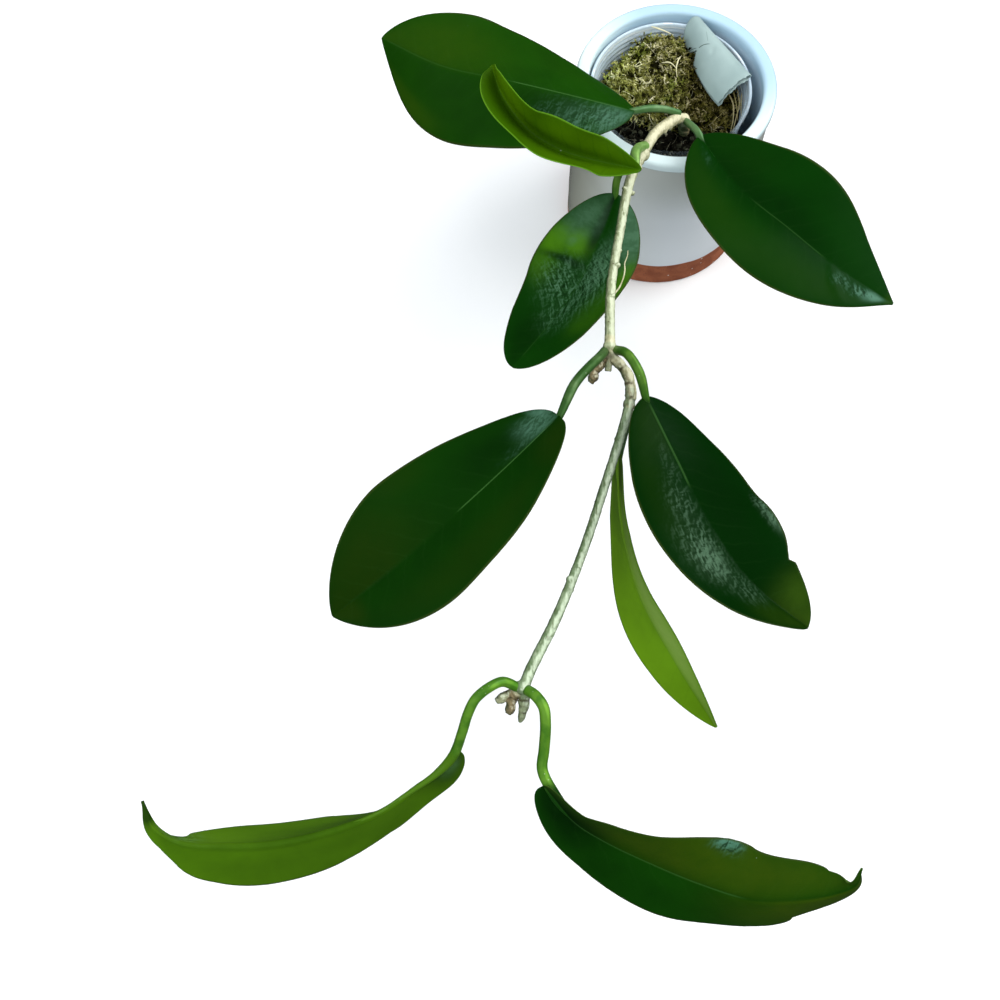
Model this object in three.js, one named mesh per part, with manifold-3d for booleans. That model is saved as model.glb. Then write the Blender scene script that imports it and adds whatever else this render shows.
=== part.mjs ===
// Potted hoya: a glazed terracotta cover pot, a clear nursery liner with its root ball and moss,
// a curled plastic plant label, one woody vine that arches out over the rim, and nine leaves.
// Millimetres, +Z up. The origin is the centre of the pot's foot, on the surface that it stands on.
// The vine grows out towards -Y, over the front of the pot.
import * as THREE from 'three';
import { mergeVertices } from 'three/addons/utils/BufferGeometryUtils.js';
import Module from 'manifold-3d';

const wasm = await Module();
wasm.setup();

// Driving dimensions
const GAP = 0.3;                 // air between two pieces that touch
const POT_HEIGHT = 116;
const POT_RADIUS = 52.6;
const MOUTH_RADIUS = 46;
const NECK_RADIUS = 51.9;           // the wall leans in a little on its way up to the lip
const LIP_RADIUS = 53.2;
const POT_FLOOR = 8;
const GLAZE_START = 19;          // bare terracotta below this height
const LINER_TOP = 111.5;
const LINER_RADIUS = 42.9;
const LINER_FLOOR_RADIUS = 32;
const LINER_WALL = 0.9;
const LINER_PLACE = [-2.1, 1];    // the liner stands a little to the left in its pot
const MIX_TOP = 95;               // top of the root ball inside the liner
const MOSS_RISE = 22;             // highest moss above the root ball
const MOSS_EDGE = 38.2;
const MOSS_FRONT = 14;            // the moss stops this far in front of the middle
const BLADE_THICK = 1.2;
const MARGIN_THICK = 0.8;
const POT_SIDES = 48;
const LINER_SIDES = 40;

// Turning a closed geometry into a solid and back
function toSolid(geometry) {
  const bare = geometry.clone();
  bare.deleteAttribute('normal');
  bare.deleteAttribute('uv');
  const merged = mergeVertices(bare, 1e-4);
  const vertProperties = new Float32Array(merged.attributes.position.array);
  const triVerts = new Uint32Array(merged.index.array);
  return new wasm.Manifold(new wasm.Mesh({ numProp: 3, vertProperties, triVerts }));
}

function toGeometry(solid) {
  const mesh = solid.getMesh();
  const geometry = new THREE.BufferGeometry();
  geometry.setAttribute('position', new THREE.BufferAttribute(new Float32Array(mesh.vertProperties), 3));
  geometry.setIndex(new THREE.BufferAttribute(new Uint32Array(mesh.triVerts), 1));
  geometry.computeVertexNormals();
  return geometry;
}

function joined(parts) {
  return parts.map(toSolid).reduce((all, next) => all.add(next));
}

function vector(point) {
  return new THREE.Vector3(...point);
}

// A skin over rings that all have the same even number of points, closed by a strip at each end.
// The second half of each ring is split along the same diagonals as the first, as a leaf's faces are.
function loft(rings) {
  const count = rings[0].length;
  const index = [];
  for (let r = 0; r < rings.length - 1; r += 1) {
    for (let i = 0; i < count; i += 1) {
      const a = r * count + i;
      const b = r * count + ((i + 1) % count);
      const c = b + count;
      const d = a + count;
      if (i < count / 2) index.push(a, b, c, a, c, d);
      else index.push(a, b, d, b, c, d);
    }
  }
  const last = (rings.length - 1) * count;
  for (let i = 0; i < count / 2 - 1; i += 1) {
    const j = count - 1 - i;
    index.push(i, j, i + 1, i + 1, j, j - 1);
    index.push(last + i, last + i + 1, last + j, last + i + 1, last + j - 1, last + j);
  }
  const geometry = new THREE.BufferGeometry();
  const flat = rings.flat().flatMap((p) => [p.x, p.y, p.z]);
  geometry.setAttribute('position', new THREE.BufferAttribute(new Float32Array(flat), 3));
  geometry.setIndex(index);
  return geometry;
}

// A value that runs smoothly through an evenly spaced list, at t from 0 to 1
function along(values, t) {
  const spans = values.length - 1;
  const k = Math.min(Math.floor(t * spans), spans - 1);
  const u = t * spans - k;
  const before = k > 0 ? values[k - 1] : 2 * values[0] - values[1];
  const after = k + 2 <= spans ? values[k + 2] : 2 * values[spans] - values[spans - 1];
  const slopeIn = (values[k + 1] - before) / 2;
  const slopeOut = (after - values[k]) / 2;
  const step = values[k + 1] - values[k];
  return values[k] + slopeIn * u + (3 * step - 2 * slopeIn - slopeOut) * u * u
    + (slopeIn + slopeOut - 2 * step) * u * u * u;
}

// A round shoot along a path, whose radius follows a list of values
function shoot(points, radii, steps, sides = 8) {
  const path = new THREE.CatmullRomCurve3(points.map(vector));
  const rings = [];
  let tangent = path.getTangentAt(0);
  const helper = Math.abs(tangent.z) < 0.8 ? new THREE.Vector3(0, 0, 1) : new THREE.Vector3(1, 0, 0);
  const normal = new THREE.Vector3().crossVectors(helper, tangent).normalize();
  for (let k = 0; k <= steps; k += 1) {
    const t = k / steps;
    const next = path.getTangentAt(t);
    normal.applyQuaternion(new THREE.Quaternion().setFromUnitVectors(tangent, next)).normalize();
    tangent = next;
    const across = new THREE.Vector3().crossVectors(tangent, normal);
    const centre = path.getPointAt(t);
    const radius = along(radii, t);
    const ring = [];
    for (let i = 0; i < sides; i += 1) {
      const turn = (2 * Math.PI * i) / sides;
      const point = centre.clone().addScaledVector(normal, radius * Math.cos(turn));
      ring.push(point.addScaledVector(across, radius * Math.sin(turn)));
    }
    rings.push(ring);
  }
  return loft(rings);
}

function knob(place, radius) {
  return new THREE.SphereGeometry(radius, 8, 5).translate(...place);
}

// The cover pot: bare foot band, glazed wall and a rolled lip
function potGeometry() {
  const profile = [
    [0, 0], [50.6, 0], [51.9, 0.9], [52.3, 3], [52.3, GLAZE_START],
    [POT_RADIUS, GLAZE_START + 0.7], [NECK_RADIUS, 105], [NECK_RADIUS, 109.8],
    [52.7, 110.5], [LIP_RADIUS, 111.8], [LIP_RADIUS, 113.4], [52.5, 115], [51, POT_HEIGHT],
    [48.5, POT_HEIGHT], [46.9, 115.4], [MOUTH_RADIUS, 114], [MOUTH_RADIUS, 111], [45.6, 20],
    [44.4, 11], [40.6, POT_FLOOR], [0, POT_FLOOR],
  ];
  return turned(profile, POT_SIDES);
}

function turned(profile, sides) {
  const outline = profile.map(([radius, height]) => new THREE.Vector2(radius, height));
  return new THREE.LatheGeometry(outline, sides).rotateX(Math.PI / 2);
}

// The clear nursery liner: a tapered thin cup with moulded rings below its rim and drain holes
function linerRadius(height) {
  const share = (height - POT_FLOOR) / (LINER_TOP - POT_FLOOR);
  return LINER_FLOOR_RADIUS + (LINER_RADIUS - 1 - LINER_FLOOR_RADIUS) * share;
}

function linerSolid() {
  const low = POT_FLOOR + GAP;
  const rings = [99, 100.2, 104, 105.2];
  const step = 0.45;
  const outer = rings.map((height, k) => [linerRadius(height) + (k % 4 < 2 ? 0 : step), height]);
  const inner = outer.map(([radius, height]) => [radius - LINER_WALL, height]).reverse();
  const profile = [
    [0, low], [LINER_FLOOR_RADIUS, low], [linerRadius(90), 90], ...outer,
    [linerRadius(108.6), 108.6], [LINER_RADIUS, 109.2], [LINER_RADIUS, LINER_TOP],
    [LINER_RADIUS - 1.4, LINER_TOP], [linerRadius(108) - LINER_WALL, 108], ...inner,
    [linerRadius(90) - LINER_WALL, 90], [LINER_FLOOR_RADIUS - LINER_WALL, low + LINER_WALL],
    [0, low + LINER_WALL],
  ];
  let cup = toSolid(turned(profile, LINER_SIDES).translate(...LINER_PLACE, 0));
  const holes = 6;
  for (let k = 0; k < holes; k += 1) {
    const turn = (2 * Math.PI * k) / holes;
    const drill = new THREE.CylinderGeometry(3.5, 3.5, 4, 12).rotateX(Math.PI / 2);
    drill.translate(LINER_PLACE[0] + 21 * Math.cos(turn), LINER_PLACE[1] + 21 * Math.sin(turn), low);
    cup = cup.subtract(toSolid(drill));
  }
  return cup;
}

// The root ball: dark potting mix that fills the liner
function mixGeometry() {
  const low = POT_FLOOR + LINER_WALL + 2 * GAP;
  const profile = [
    [0, low], [LINER_FLOOR_RADIUS - LINER_WALL - GAP, low], [linerRadius(90) - LINER_WALL - GAP, 90],
    [linerRadius(MIX_TOP) - LINER_WALL - GAP, MIX_TOP], [0, MIX_TOP],
  ];
  return turned(profile, LINER_SIDES).translate(...LINER_PLACE, 0);
}

// The moss: a rough mound, high at the back left and low at the right, that stops short of the vine
function mossHeight(x, y) {
  const dome = Math.exp(-((x + 8) ** 2) / 450 - ((y - 22) ** 2) / 900);
  const lumps = Math.sin(0.42 * x + 1.3) * Math.cos(0.37 * y) + 0.6 * Math.sin(0.8 * x - 0.7 * y);
  return 4 + (MOSS_RISE - 4) * dome + 0.7 * lumps;
}

function mossGeometry() {
  const spokes = 40;
  const shares = [0.04, 0.2, 0.36, 0.52, 0.67, 0.8, 0.9, 0.97];
  const low = MIX_TOP + GAP;
  const rings = [];
  function ring(share, heightAt) {
    const points = [];
    for (let i = 0; i < spokes; i += 1) {
      const turn = (2 * Math.PI * i) / spokes;
      const forward = -0.2 * Math.cos(turn) - 0.98 * Math.sin(turn);
      const wobble = 1.2 * Math.sin(5 * turn) + 0.8 * Math.cos(9 * turn);
      const reach = Math.min(MOSS_EDGE - 1.5 + wobble * 0.6, (MOSS_FRONT + wobble) / Math.max(forward, 0.01));
      const x = LINER_PLACE[0] + share * reach * Math.cos(turn);
      const y = LINER_PLACE[1] + share * reach * Math.sin(turn);
      points.push(new THREE.Vector3(x, y, heightAt(x, y)));
    }
    rings.push(points);
  }
  ring(0.04, () => low);
  ring(1, () => low);
  ring(1, (x, y) => low + 0.25 * mossHeight(x, y));
  shares.reverse().forEach((share) => {
    const rounded = Math.sqrt(1 - share ** 6);
    ring(share, (x, y) => low + (0.25 + 0.75 * rounded) * mossHeight(x, y));
  });
  return loft(rings);
}

// The plant label: a plastic strip doubled over like a hairpin, lying on the moss and the rims
const LABEL = {
  length: 44.8, thick: 0.7, heading: -57.5, place: [16.5, 41, 116], middle: -8.75, bulge: 3,
  widest: 1.22, narrowing: 0.6, fullFrom: 40, narrowPower: 1.6,
};

// The strip is narrower towards its upper end, which isn't square but bulges out in the middle
function shapeEnd(place) {
  for (let k = 0; k < place.count; k += 1) {
    const short = Math.max(1 - Math.max(place.getZ(k), 0) / LABEL.fullFrom, 0);
    place.setX(k, place.getX(k) * (LABEL.widest - LABEL.narrowing * short ** LABEL.narrowPower));
    if (place.getZ(k) > 1) continue;
    const middle = LABEL.middle * (LABEL.widest - LABEL.narrowing);
    const share = (place.getX(k) - middle) / middle;
    place.setZ(k, place.getZ(k) - LABEL.bulge * Math.max(1 - share * share, 0));
  }
}

function labelSolid(grow) {
  const line = [
    [-17.5, -8.2], [-14, -3.6], [-9.5, 0], [-5, 1.6], [-1.6, 1], [-0.4, -0.9], [-1.8, -2.6],
    [-5, -2], [-9.5, -3.8], [-13.5, -7], [-16.5, -11.2],
  ];
  const curve = new THREE.SplineCurve(line.map(([x, y]) => new THREE.Vector2(x, y)));
  const half = LABEL.thick / 2 + grow;
  const upper = [];
  const lower = [];
  const steps = 22;
  for (let k = 0; k <= steps; k += 1) {
    const point = curve.getPointAt(k / steps);
    const tangent = curve.getTangentAt(k / steps);
    upper.push(new THREE.Vector2(point.x - tangent.y * half, point.y + tangent.x * half));
    lower.push(new THREE.Vector2(point.x + tangent.y * half, point.y - tangent.x * half));
  }
  const outline = new THREE.Shape([...lower, ...upper.reverse()]);
  const strip = new THREE.ExtrudeGeometry(outline, {
    depth: LABEL.length + 2 * grow, steps: 5, bevelEnabled: false,
  });
  strip.translate(0, 0, -grow);
  shapeEnd(strip.attributes.position);
  const torn = [[-24, 7.9], [-15, 7.9], [-12.5, 13.2], [-19.4, 19.6], [-24, 19.6]];
  const tear = new THREE.Shape(torn.map(([x, y]) => new THREE.Vector2(x, y)));
  const wedge = new THREE.ExtrudeGeometry(tear, { depth: 30, bevelEnabled: false });
  wedge.rotateX(Math.PI / 2);
  wedge.translate(0, 4, 0);
  const parts = [strip, wedge].map((geometry) => {
    geometry.rotateX(Math.PI / 2);
    geometry.rotateZ(((LABEL.heading + 90) * Math.PI) / 180);
    return toSolid(geometry.translate(...LABEL.place));
  });
  return grow > 0 ? parts[0] : parts[0].subtract(parts[1]);
}

// The vine: buried foot, pale woody stretch over the rim, knobby bend, and a slimmer greener stretch
const VINE = {
  woody: [
    [8, -10, 60], [7, -13, 76], [6, -15, 90], [4.5, -18.5, 102], [2.8, -22.3, 113], [-1.4, -25.6, 119],
    [-7, -31.8, 123.4], [-15, -42, 129], [-23, -58.8, 135.6], [-30.8, -77, 140], [-38, -109, 143],
    [-44, -141, 144], [-46, -170, 144],
  ],
  bend: [
    [-46, -167, 144], [-45, -174, 142], [-41, -178, 140], [-38, -183, 139], [-37, -189, 137],
    [-38, -197, 136],
  ],
  slim: [
    [-37, -193, 136.5], [-41.5, -208, 136], [-51, -235, 135], [-61.3, -263, 132], [-74.8, -294, 129],
    [-86, -315, 127], [-90, -324, 126],
  ],
  root: [
    [-43, -143, 143], [-40, -139.5, 144], [-38, -135, 144], [-36.8, -130, 143.5], [-36.6, -126, 143],
    [-35, -121.5, 142.5], [-34.6, -118.5, 142],
  ],
  thread: [[-38, -181, 139.5], [-35.6, -186, 139.5], [-35, -191, 139], [-35.6, -194.5, 138.5]],
};
const SPURS = [
  { points: [[-46, -171, 142], [-51, -177, 139], [-55, -184, 135]], radii: [1.7, 2.4, 2, 2.5, 2, 2.4, 1.4] },
  { points: [[-46, -171, 143], [-46.5, -176, 140.5], [-47, -180, 138.5]], radii: [2, 1.8, 1.4] },
  {
    points: [[-91, -322, 125], [-96.5, -325.5, 123.5], [-101.5, -328, 122.5]],
    radii: [1.7, 2.1, 1.7, 2.2, 1.4],
  },
  {
    points: [[-91, -322, 126], [-94.5, -327.5, 122], [-96, -332.5, 118.5]],
    radii: [1.9, 2.3, 1.9, 2.2, 1.6],
  },
  {
    points: [[-89, -323, 125], [-89.5, -330, 122], [-91.5, -336.5, 118]],
    radii: [2.3, 2.6, 2.2, 2.4, 1.7, 1.6, 0.7],
  },
];
const KNOBS = [
  { place: [2, -23.5, 115], radius: 3.6 }, { place: [4.2, -26, 116.8], radius: 1.6 },
  { place: [-23.2, -59.5, 135.7], radius: 3.5 }, { place: [-46, -170, 143.5], radius: 3.2 },
  { place: [-38, -196, 136], radius: 2.9 }, { place: [-90, -323, 126], radius: 3.3 },
  { place: [-30.4, -86, 141], radius: 1.1 }, { place: [-34.5, -84, 143], radius: 0.9 },
];
const BEND_RINGS = [2.3, 2.6, 2.2, 2.6, 2.2, 2.7, 2.2, 2.6, 2.2, 2.4];

function vineSolid(grow) {
  const swell = (radii) => radii.map((radius) => radius + grow);
  const parts = [
    shoot(VINE.woody, swell([2.5, 2.7, 2.9, 2.8, 2.6, 2.35, 2.2, 2.25, 2.5]), 30),
    shoot(VINE.bend, swell(BEND_RINGS), BEND_RINGS.length - 1),
    shoot(VINE.slim, swell([2.3, 2.2, 2.1, 2.15, 2.4, 2.5]), 12),
    shoot(VINE.root, swell([0.7, 0.45, 0.4, 0.35]), 9, 4),
    shoot(VINE.thread, swell([0.4, 0.4, 0.8]), 4, 4),
    ...SPURS.map(({ points, radii }) => shoot(points, swell(radii), radii.length - 1, 6)),
    ...KNOBS.map(({ place, radius }) => knob(place, radius + grow)),
  ];
  return joined(parts);
}

// The leaves. Each has a round stalk and a blade on a curved midrib. A blade half is tilted by the
// angles in left or right, from its base to its tip, where 0 is level and 90 stands straight up.
// The fullness numbers set how round the blade is at its base and towards its tip. A dent takes a
// slanting bite out of the left margin.
const LEAVES = [
  {
    name: 'leaf_1', halfWidth: 35.3, widest: 0.61, base: 0.65, tip: 0.84, green: 0x1d4a0c,
    stalk: [[-1, -24, 121], [-9, -26, 127], [-18, -30, 133]],
    rib: [[-26, -34, 136], [-58, -29, 143], [-90, -22, 147], [-122, -9, 143], [-153, 14, 138]],
    left: [-1, -16, -37, -61], right: [-21, -14, 1, 38],
  },
  {
    name: 'leaf_2', halfWidth: 33.5, widest: 0.47, base: 0.71, tip: 1.07, green: 0x123a06,
    stalk: [[3, -26, 117], [5, -32, 121], [7, -38, 124]],
    rib: [[8, -41, 124], [25, -73, 125], [47, -98, 126], [70, -118, 121], [97, -134, 113]],
    left: [22, 21, 14, 7], right: [15, 7, -2, 7],
  },
  {
    name: 'leaf_3', halfWidth: 19.8, widest: 0.48, base: 0.84, tip: 0.84, green: 0x5f8f10,
    stalkRadius: 2.5, stalk: [[-22, -55, 136], [-26, -60.5, 142], [-28.8, -69, 148.5]],
    rib: [
      [-27, -80.5, 152.5], [-46, -76, 153], [-64, -73, 158], [-79, -65, 162], [-91, -51, 168],
      [-97, -29, 166],
    ],
    left: [19, 41, 43, 35], right: [69, 88, 94, 99],
  },
  {
    name: 'leaf_4', halfWidth: 27.2, widest: 0.47, base: 0.65, tip: 0.59, green: 0x1a4c14,
    stalk: [[-25, -60.5, 136], [-33, -65, 133], [-36, -69, 128]],
    rib: [[-36, -74, 123], [-46, -99, 118], [-58, -123, 116], [-73, -142, 111], [-90, -163, 111]],
    left: [22, 27, 34, 25], right: [28, 9, -13, -24],
  },
  {
    name: 'leaf_5', halfWidth: 32.1, widest: 0.59, base: 0.43, tip: 0.83, green: 0x0f3404,
    stalkRadius: 2.2,
    stalk: [[-48, -171.5, 142.5], [-51.5, -178, 148.5], [-56, -184.3, 153], [-64, -196, 158]],
    rib: [[-71, -211, 158], [-95, -232, 151], [-120, -253, 145], [-145, -272, 137], [-172, -289, 124]],
    left: [43, 27, 15, 7], right: [-30, -8, 20, 41],
  },
  {
    name: 'leaf_6', halfWidth: 27.8, widest: 0.54, base: 0.61, tip: 0.66, green: 0x0b3a08,
    stalkRadius: 2.2, stalk: [[-43.5, -171.5, 143], [-39, -177, 149.5], [-34, -186, 148.5]],
    rib: [[-31, -195, 142], [-19, -227, 142], [-8, -259, 146], [7, -284, 145], [30, -304, 142]],
    left: [-23, -15, 4, 20], right: [12, 15, 27, 50],
    dent: { start: 0.7, deepest: 0.81, end: 0.84, depth: 2.4 },
  },
  {
    name: 'leaf_7', halfWidth: 21.6, widest: 0.45, base: 0.37, tip: 0.9, green: 0x5a8a26, turned: true,
    stalk: [[-38, -196, 135], [-39, -202, 130]],
    rib: [[-42.5, -214, 124], [-41, -243, 106], [-33, -272, 89], [-16.3, -302, 75], [2, -330, 62]],
    left: [90, 92, 86, 88], right: [-82, -80, -53, -27],
  },
  {
    name: 'leaf_8', halfWidth: 24.7, widest: 0.59, base: 0.66, tip: 1.8, green: 0x3f7013, turned: true,
    stalkRadius: 2.2, stalk: [
      [-92, -323, 126], [-98.5, -321.5, 131], [-104.5, -324.5, 133], [-110, -328.6, 131],
      [-113.5, -334, 126], [-116.2, -340.1, 118],
    ],
    rib: [
      [-119.2, -345, 107], [-123.2, -351, 101], [-136, -359, 97], [-151, -370, 102], [-171, -378, 105],
      [-197, -383, 103], [-220, -384, 107], [-235, -383, 112], [-248, -376, 110], [-253, -365, 111],
    ],
    left: [-42, -70, -64, -55, -45, -45], right: [-76, -83, -70, -64, -67, -96],
  },
  {
    name: 'leaf_9', halfWidth: 27, widest: 0.52, base: 0.42, tip: 1.1, green: 0x24480c,
    stalkRadius: 2.4, stalk: [
      [-88, -324.5, 127], [-84.6, -327.6, 130], [-81.4, -332.6, 130], [-80.7, -339, 126],
      [-81.4, -348, 118], [-82.3, -356, 113],
    ],
    rib: [
      [-81.8, -362.3, 111], [-69.3, -376.4, 103], [-57.1, -384.2, 100], [-37, -394, 98], [-17, -403, 101],
      [3, -410, 106], [20, -411, 111], [37, -409, 109], [45.5, -406, 112], [47, -400, 119],
    ],
    left: [85, 80, 69, 41, 37, 32], right: [-61, -56, -49, -68, -71, -77],
  },
];
const STATIONS = 20;
const HALF_COLUMNS = 3;
const LEAST_HALF = 0.7;          // half the blade's width at its very ends
const STALK_RADIUS = 1.9;        // of a stalk that gives no radius of its own
const UP = new THREE.Vector3(0, 0, 1);

function halfWidthAt(leaf, t) {
  const share = t < leaf.widest ? 1 - t / leaf.widest : (t - leaf.widest) / (1 - leaf.widest);
  const power = t < leaf.widest ? leaf.base : leaf.tip;
  return LEAST_HALF + (leaf.halfWidth - LEAST_HALF) * Math.max(1 - share * share, 0) ** power;
}

// How far the left margin is drawn in at t
function dentAt(leaf, t) {
  if (!leaf.dent) return 0;
  const { start, deepest, end, depth } = leaf.dent;
  if (t < start || t > end) return 0;
  if (t < deepest) return depth * ((t - start) / (deepest - start)) ** 1.5;
  return (depth * (end - t)) / (end - deepest);
}

// The midrib's point, the level way to the leaf's left, the way up from it, and the two tilts.
// A narrow stretch can't close up tight, so there the fold is opened.
function ribFrame(leaf, t) {
  const rib = new THREE.CatmullRomCurve3(leaf.rib.map(vector));
  const tangent = rib.getTangentAt(t);
  const level = new THREE.Vector3().crossVectors(UP, tangent).normalize();
  const rise = new THREE.Vector3().crossVectors(tangent, level);
  const roll = (along(leaf.left, t) - along(leaf.right, t)) / 2;
  const fold = (along(leaf.left, t) + along(leaf.right, t)) / 2;
  const width = halfWidthAt(leaf, t);
  const limit = 84 - (Math.atan((2.4 * BLADE_THICK) / width) * 180) / Math.PI;
  const kept = Math.sign(fold) * Math.min(Math.abs(fold), Math.max(limit, 0));
  const tilts = { left: ((kept + roll) * Math.PI) / 180, right: ((kept - roll) * Math.PI) / 180 };
  return { point: rib.getPointAt(t), level, rise, tilts, roll: (roll * Math.PI) / 180, width };
}

function bladeSection(leaf, t) {
  const frame = ribFrame(leaf, t);
  const upper = [];
  const lower = [];
  for (let column = HALF_COLUMNS; column >= -HALF_COLUMNS; column -= 1) {
    const share = Math.abs(column) / HALF_COLUMNS;
    const side = Math.sign(column);
    const tilt = side >= 0 ? frame.tilts.left : frame.tilts.right;
    const out = frame.level.clone().multiplyScalar((side || 1) * Math.cos(tilt));
    out.addScaledVector(frame.rise, Math.sin(tilt));
    const normal = frame.rise.clone().multiplyScalar(Math.cos(tilt));
    normal.addScaledVector(frame.level, -(side || 1) * Math.sin(tilt));
    if (side === 0) {
      normal.copy(frame.rise).multiplyScalar(Math.cos(frame.roll));
      normal.addScaledVector(frame.level, -Math.sin(frame.roll));
    }
    const reach = side > 0 ? frame.width - dentAt(leaf, t) : frame.width;
    const point = frame.point.clone().addScaledVector(out, share * reach);
    const half = THREE.MathUtils.lerp(BLADE_THICK, MARGIN_THICK, share) / 2;
    upper.push(point.clone().addScaledVector(normal, half));
    lower.push(point.addScaledVector(normal, -half));
  }
  return [...upper, ...lower.reverse()];
}

function stationAt(k) {
  const even = k / STATIONS;
  return 0.5 * even + 0.25 * (1 - Math.cos(Math.PI * even));
}

function leafSolid(leaf, vineCut) {
  const sections = [];
  for (let k = 0; k <= STATIONS; k += 1) sections.push(bladeSection(leaf, stationAt(k)));
  const blade = loft(sections);
  const ridge = [0.03, 0.1, 0.2, 0.3, 0.42].map((t) => {
    const frame = ribFrame(leaf, t);
    const back = frame.rise.clone().multiplyScalar(-Math.cos(frame.roll));
    back.addScaledVector(frame.level, Math.sin(frame.roll));
    if (leaf.turned) back.negate();
    return frame.point.addScaledVector(back, 0.5).toArray();
  });
  const long = leaf.stalk.length;
  const radii = [...Array(long).fill(leaf.stalkRadius ?? STALK_RADIUS), 1.5, 1.1, 0.9, 0.8, 0.5];
  const stalk = shoot([...leaf.stalk, ...ridge], radii, 8 + long, 6);
  return joined([blade, stalk]).subtract(vineCut);
}

// The finished plant
const plant = new THREE.Group();

function addPiece(name, geometry, color, roughness, metalness = 0, extra = {}) {
  const material = new THREE.MeshStandardMaterial({ color, roughness, metalness, ...extra });
  const mesh = new THREE.Mesh(geometry, material);
  mesh.name = name;
  plant.add(mesh);
}

const vineHole = vineSolid(GAP);
const mix = toSolid(mixGeometry()).subtract(vineHole);
const moss = toSolid(mossGeometry()).subtract(vineHole).subtract(labelSolid(GAP));

addPiece('cover_pot', potGeometry(), 0xe4eaf0, 0.25);
addPiece('nursery_liner', toGeometry(linerSolid()), 0xd8e2ea, 0.2, 0, { transparent: true, opacity: 0.4 });
addPiece('potting_mix', toGeometry(mix), 0x15130d, 0.95);
addPiece('moss_mound', toGeometry(moss), 0x6e6a30, 0.95);
addPiece('plant_label', toGeometry(labelSolid(0)), 0xdfe8e2, 0.45);
addPiece('vine_stem', toGeometry(vineSolid(0)), 0xd9d6ba, 0.8);
LEAVES.forEach((leaf) => addPiece(leaf.name, toGeometry(leafSolid(leaf, vineHole)), leaf.green, 0.35));

export default plant;
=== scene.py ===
# %% [markdown]
# # A potted hoya with one long vine
# The plant stands in a clear nursery liner inside a glazed terracotta cover pot. One woody vine
# arches out over the rim and carries nine leathery leaves. This lesson dresses the plain solids
# of the model: each piece is made again with a finer shape and with materials worked out from
# noise and simple rules, in the same place and at the same size.
#
# The model's own frame is used all through: metres, +Z up, the pot's foot in the middle at the
# origin, and the vine growing out towards -Y.

import math

import bmesh
import bpy
import numpy as np
from mathutils import Matrix, Vector, noise


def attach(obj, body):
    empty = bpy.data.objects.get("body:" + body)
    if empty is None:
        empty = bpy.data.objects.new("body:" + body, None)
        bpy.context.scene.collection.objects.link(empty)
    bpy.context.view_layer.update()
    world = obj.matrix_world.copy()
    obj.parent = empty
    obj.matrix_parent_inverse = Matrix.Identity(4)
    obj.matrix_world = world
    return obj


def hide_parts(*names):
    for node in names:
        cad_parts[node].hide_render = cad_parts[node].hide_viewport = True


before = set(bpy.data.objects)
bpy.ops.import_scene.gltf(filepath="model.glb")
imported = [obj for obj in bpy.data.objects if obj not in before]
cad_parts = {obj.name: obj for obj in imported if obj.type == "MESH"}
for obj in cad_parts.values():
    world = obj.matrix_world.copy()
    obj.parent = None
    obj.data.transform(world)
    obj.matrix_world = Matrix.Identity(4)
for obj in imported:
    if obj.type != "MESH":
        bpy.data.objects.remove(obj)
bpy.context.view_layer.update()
MM = 0.001
print("solids in the frame:", ", ".join(sorted(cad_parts)))

# %% [markdown]
# ## Camera
# The photograph looks down steeply, 69 degrees below the horizon, with the pot near its top edge.
# The place and the two angles were worked out from the ellipses of the pot's rim and foot. A
# camera looks along its own -Z, so it is first tipped up from straight down, then rolled.

# %% Camera
CAMERA_PLACE = Vector((-97.77, -438.87, 652.76)) * MM
CAMERA_DOWN = 69.05
CAMERA_ROLL = -1.3
LENS_LENGTH = 45.0
SENSOR_WIDTH = 36.0


def add_camera():
    lens = bpy.data.cameras.new("camera")
    lens.lens = LENS_LENGTH
    lens.sensor_width = SENSOR_WIDTH
    lens.clip_start = 0.01
    camera = bpy.data.objects.new("camera", lens)
    tip = Matrix.Rotation(math.radians(90.0 - CAMERA_DOWN), 4, "X")
    roll = Matrix.Rotation(math.radians(CAMERA_ROLL), 4, "Z")
    camera.matrix_world = Matrix.Translation(CAMERA_PLACE) @ tip @ roll
    bpy.context.collection.objects.link(camera)
    bpy.context.scene.camera = camera
    return camera


camera = add_camera()
print("camera at", tuple(round(value, 3) for value in camera.location))

# %% [markdown]
# ## Node shorthand
# Materials and Geometry Nodes trees are both made of nodes joined by links. A small builder keeps
# each node to one line: it makes the node, applies its settings, and fills or links its inputs.

# %% Node shorthand
def find(sockets, name):
    """The socket with that identifier or name."""
    for socket in sockets:
        if socket.identifier == name:
            return socket
    return sockets[name]


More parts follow.
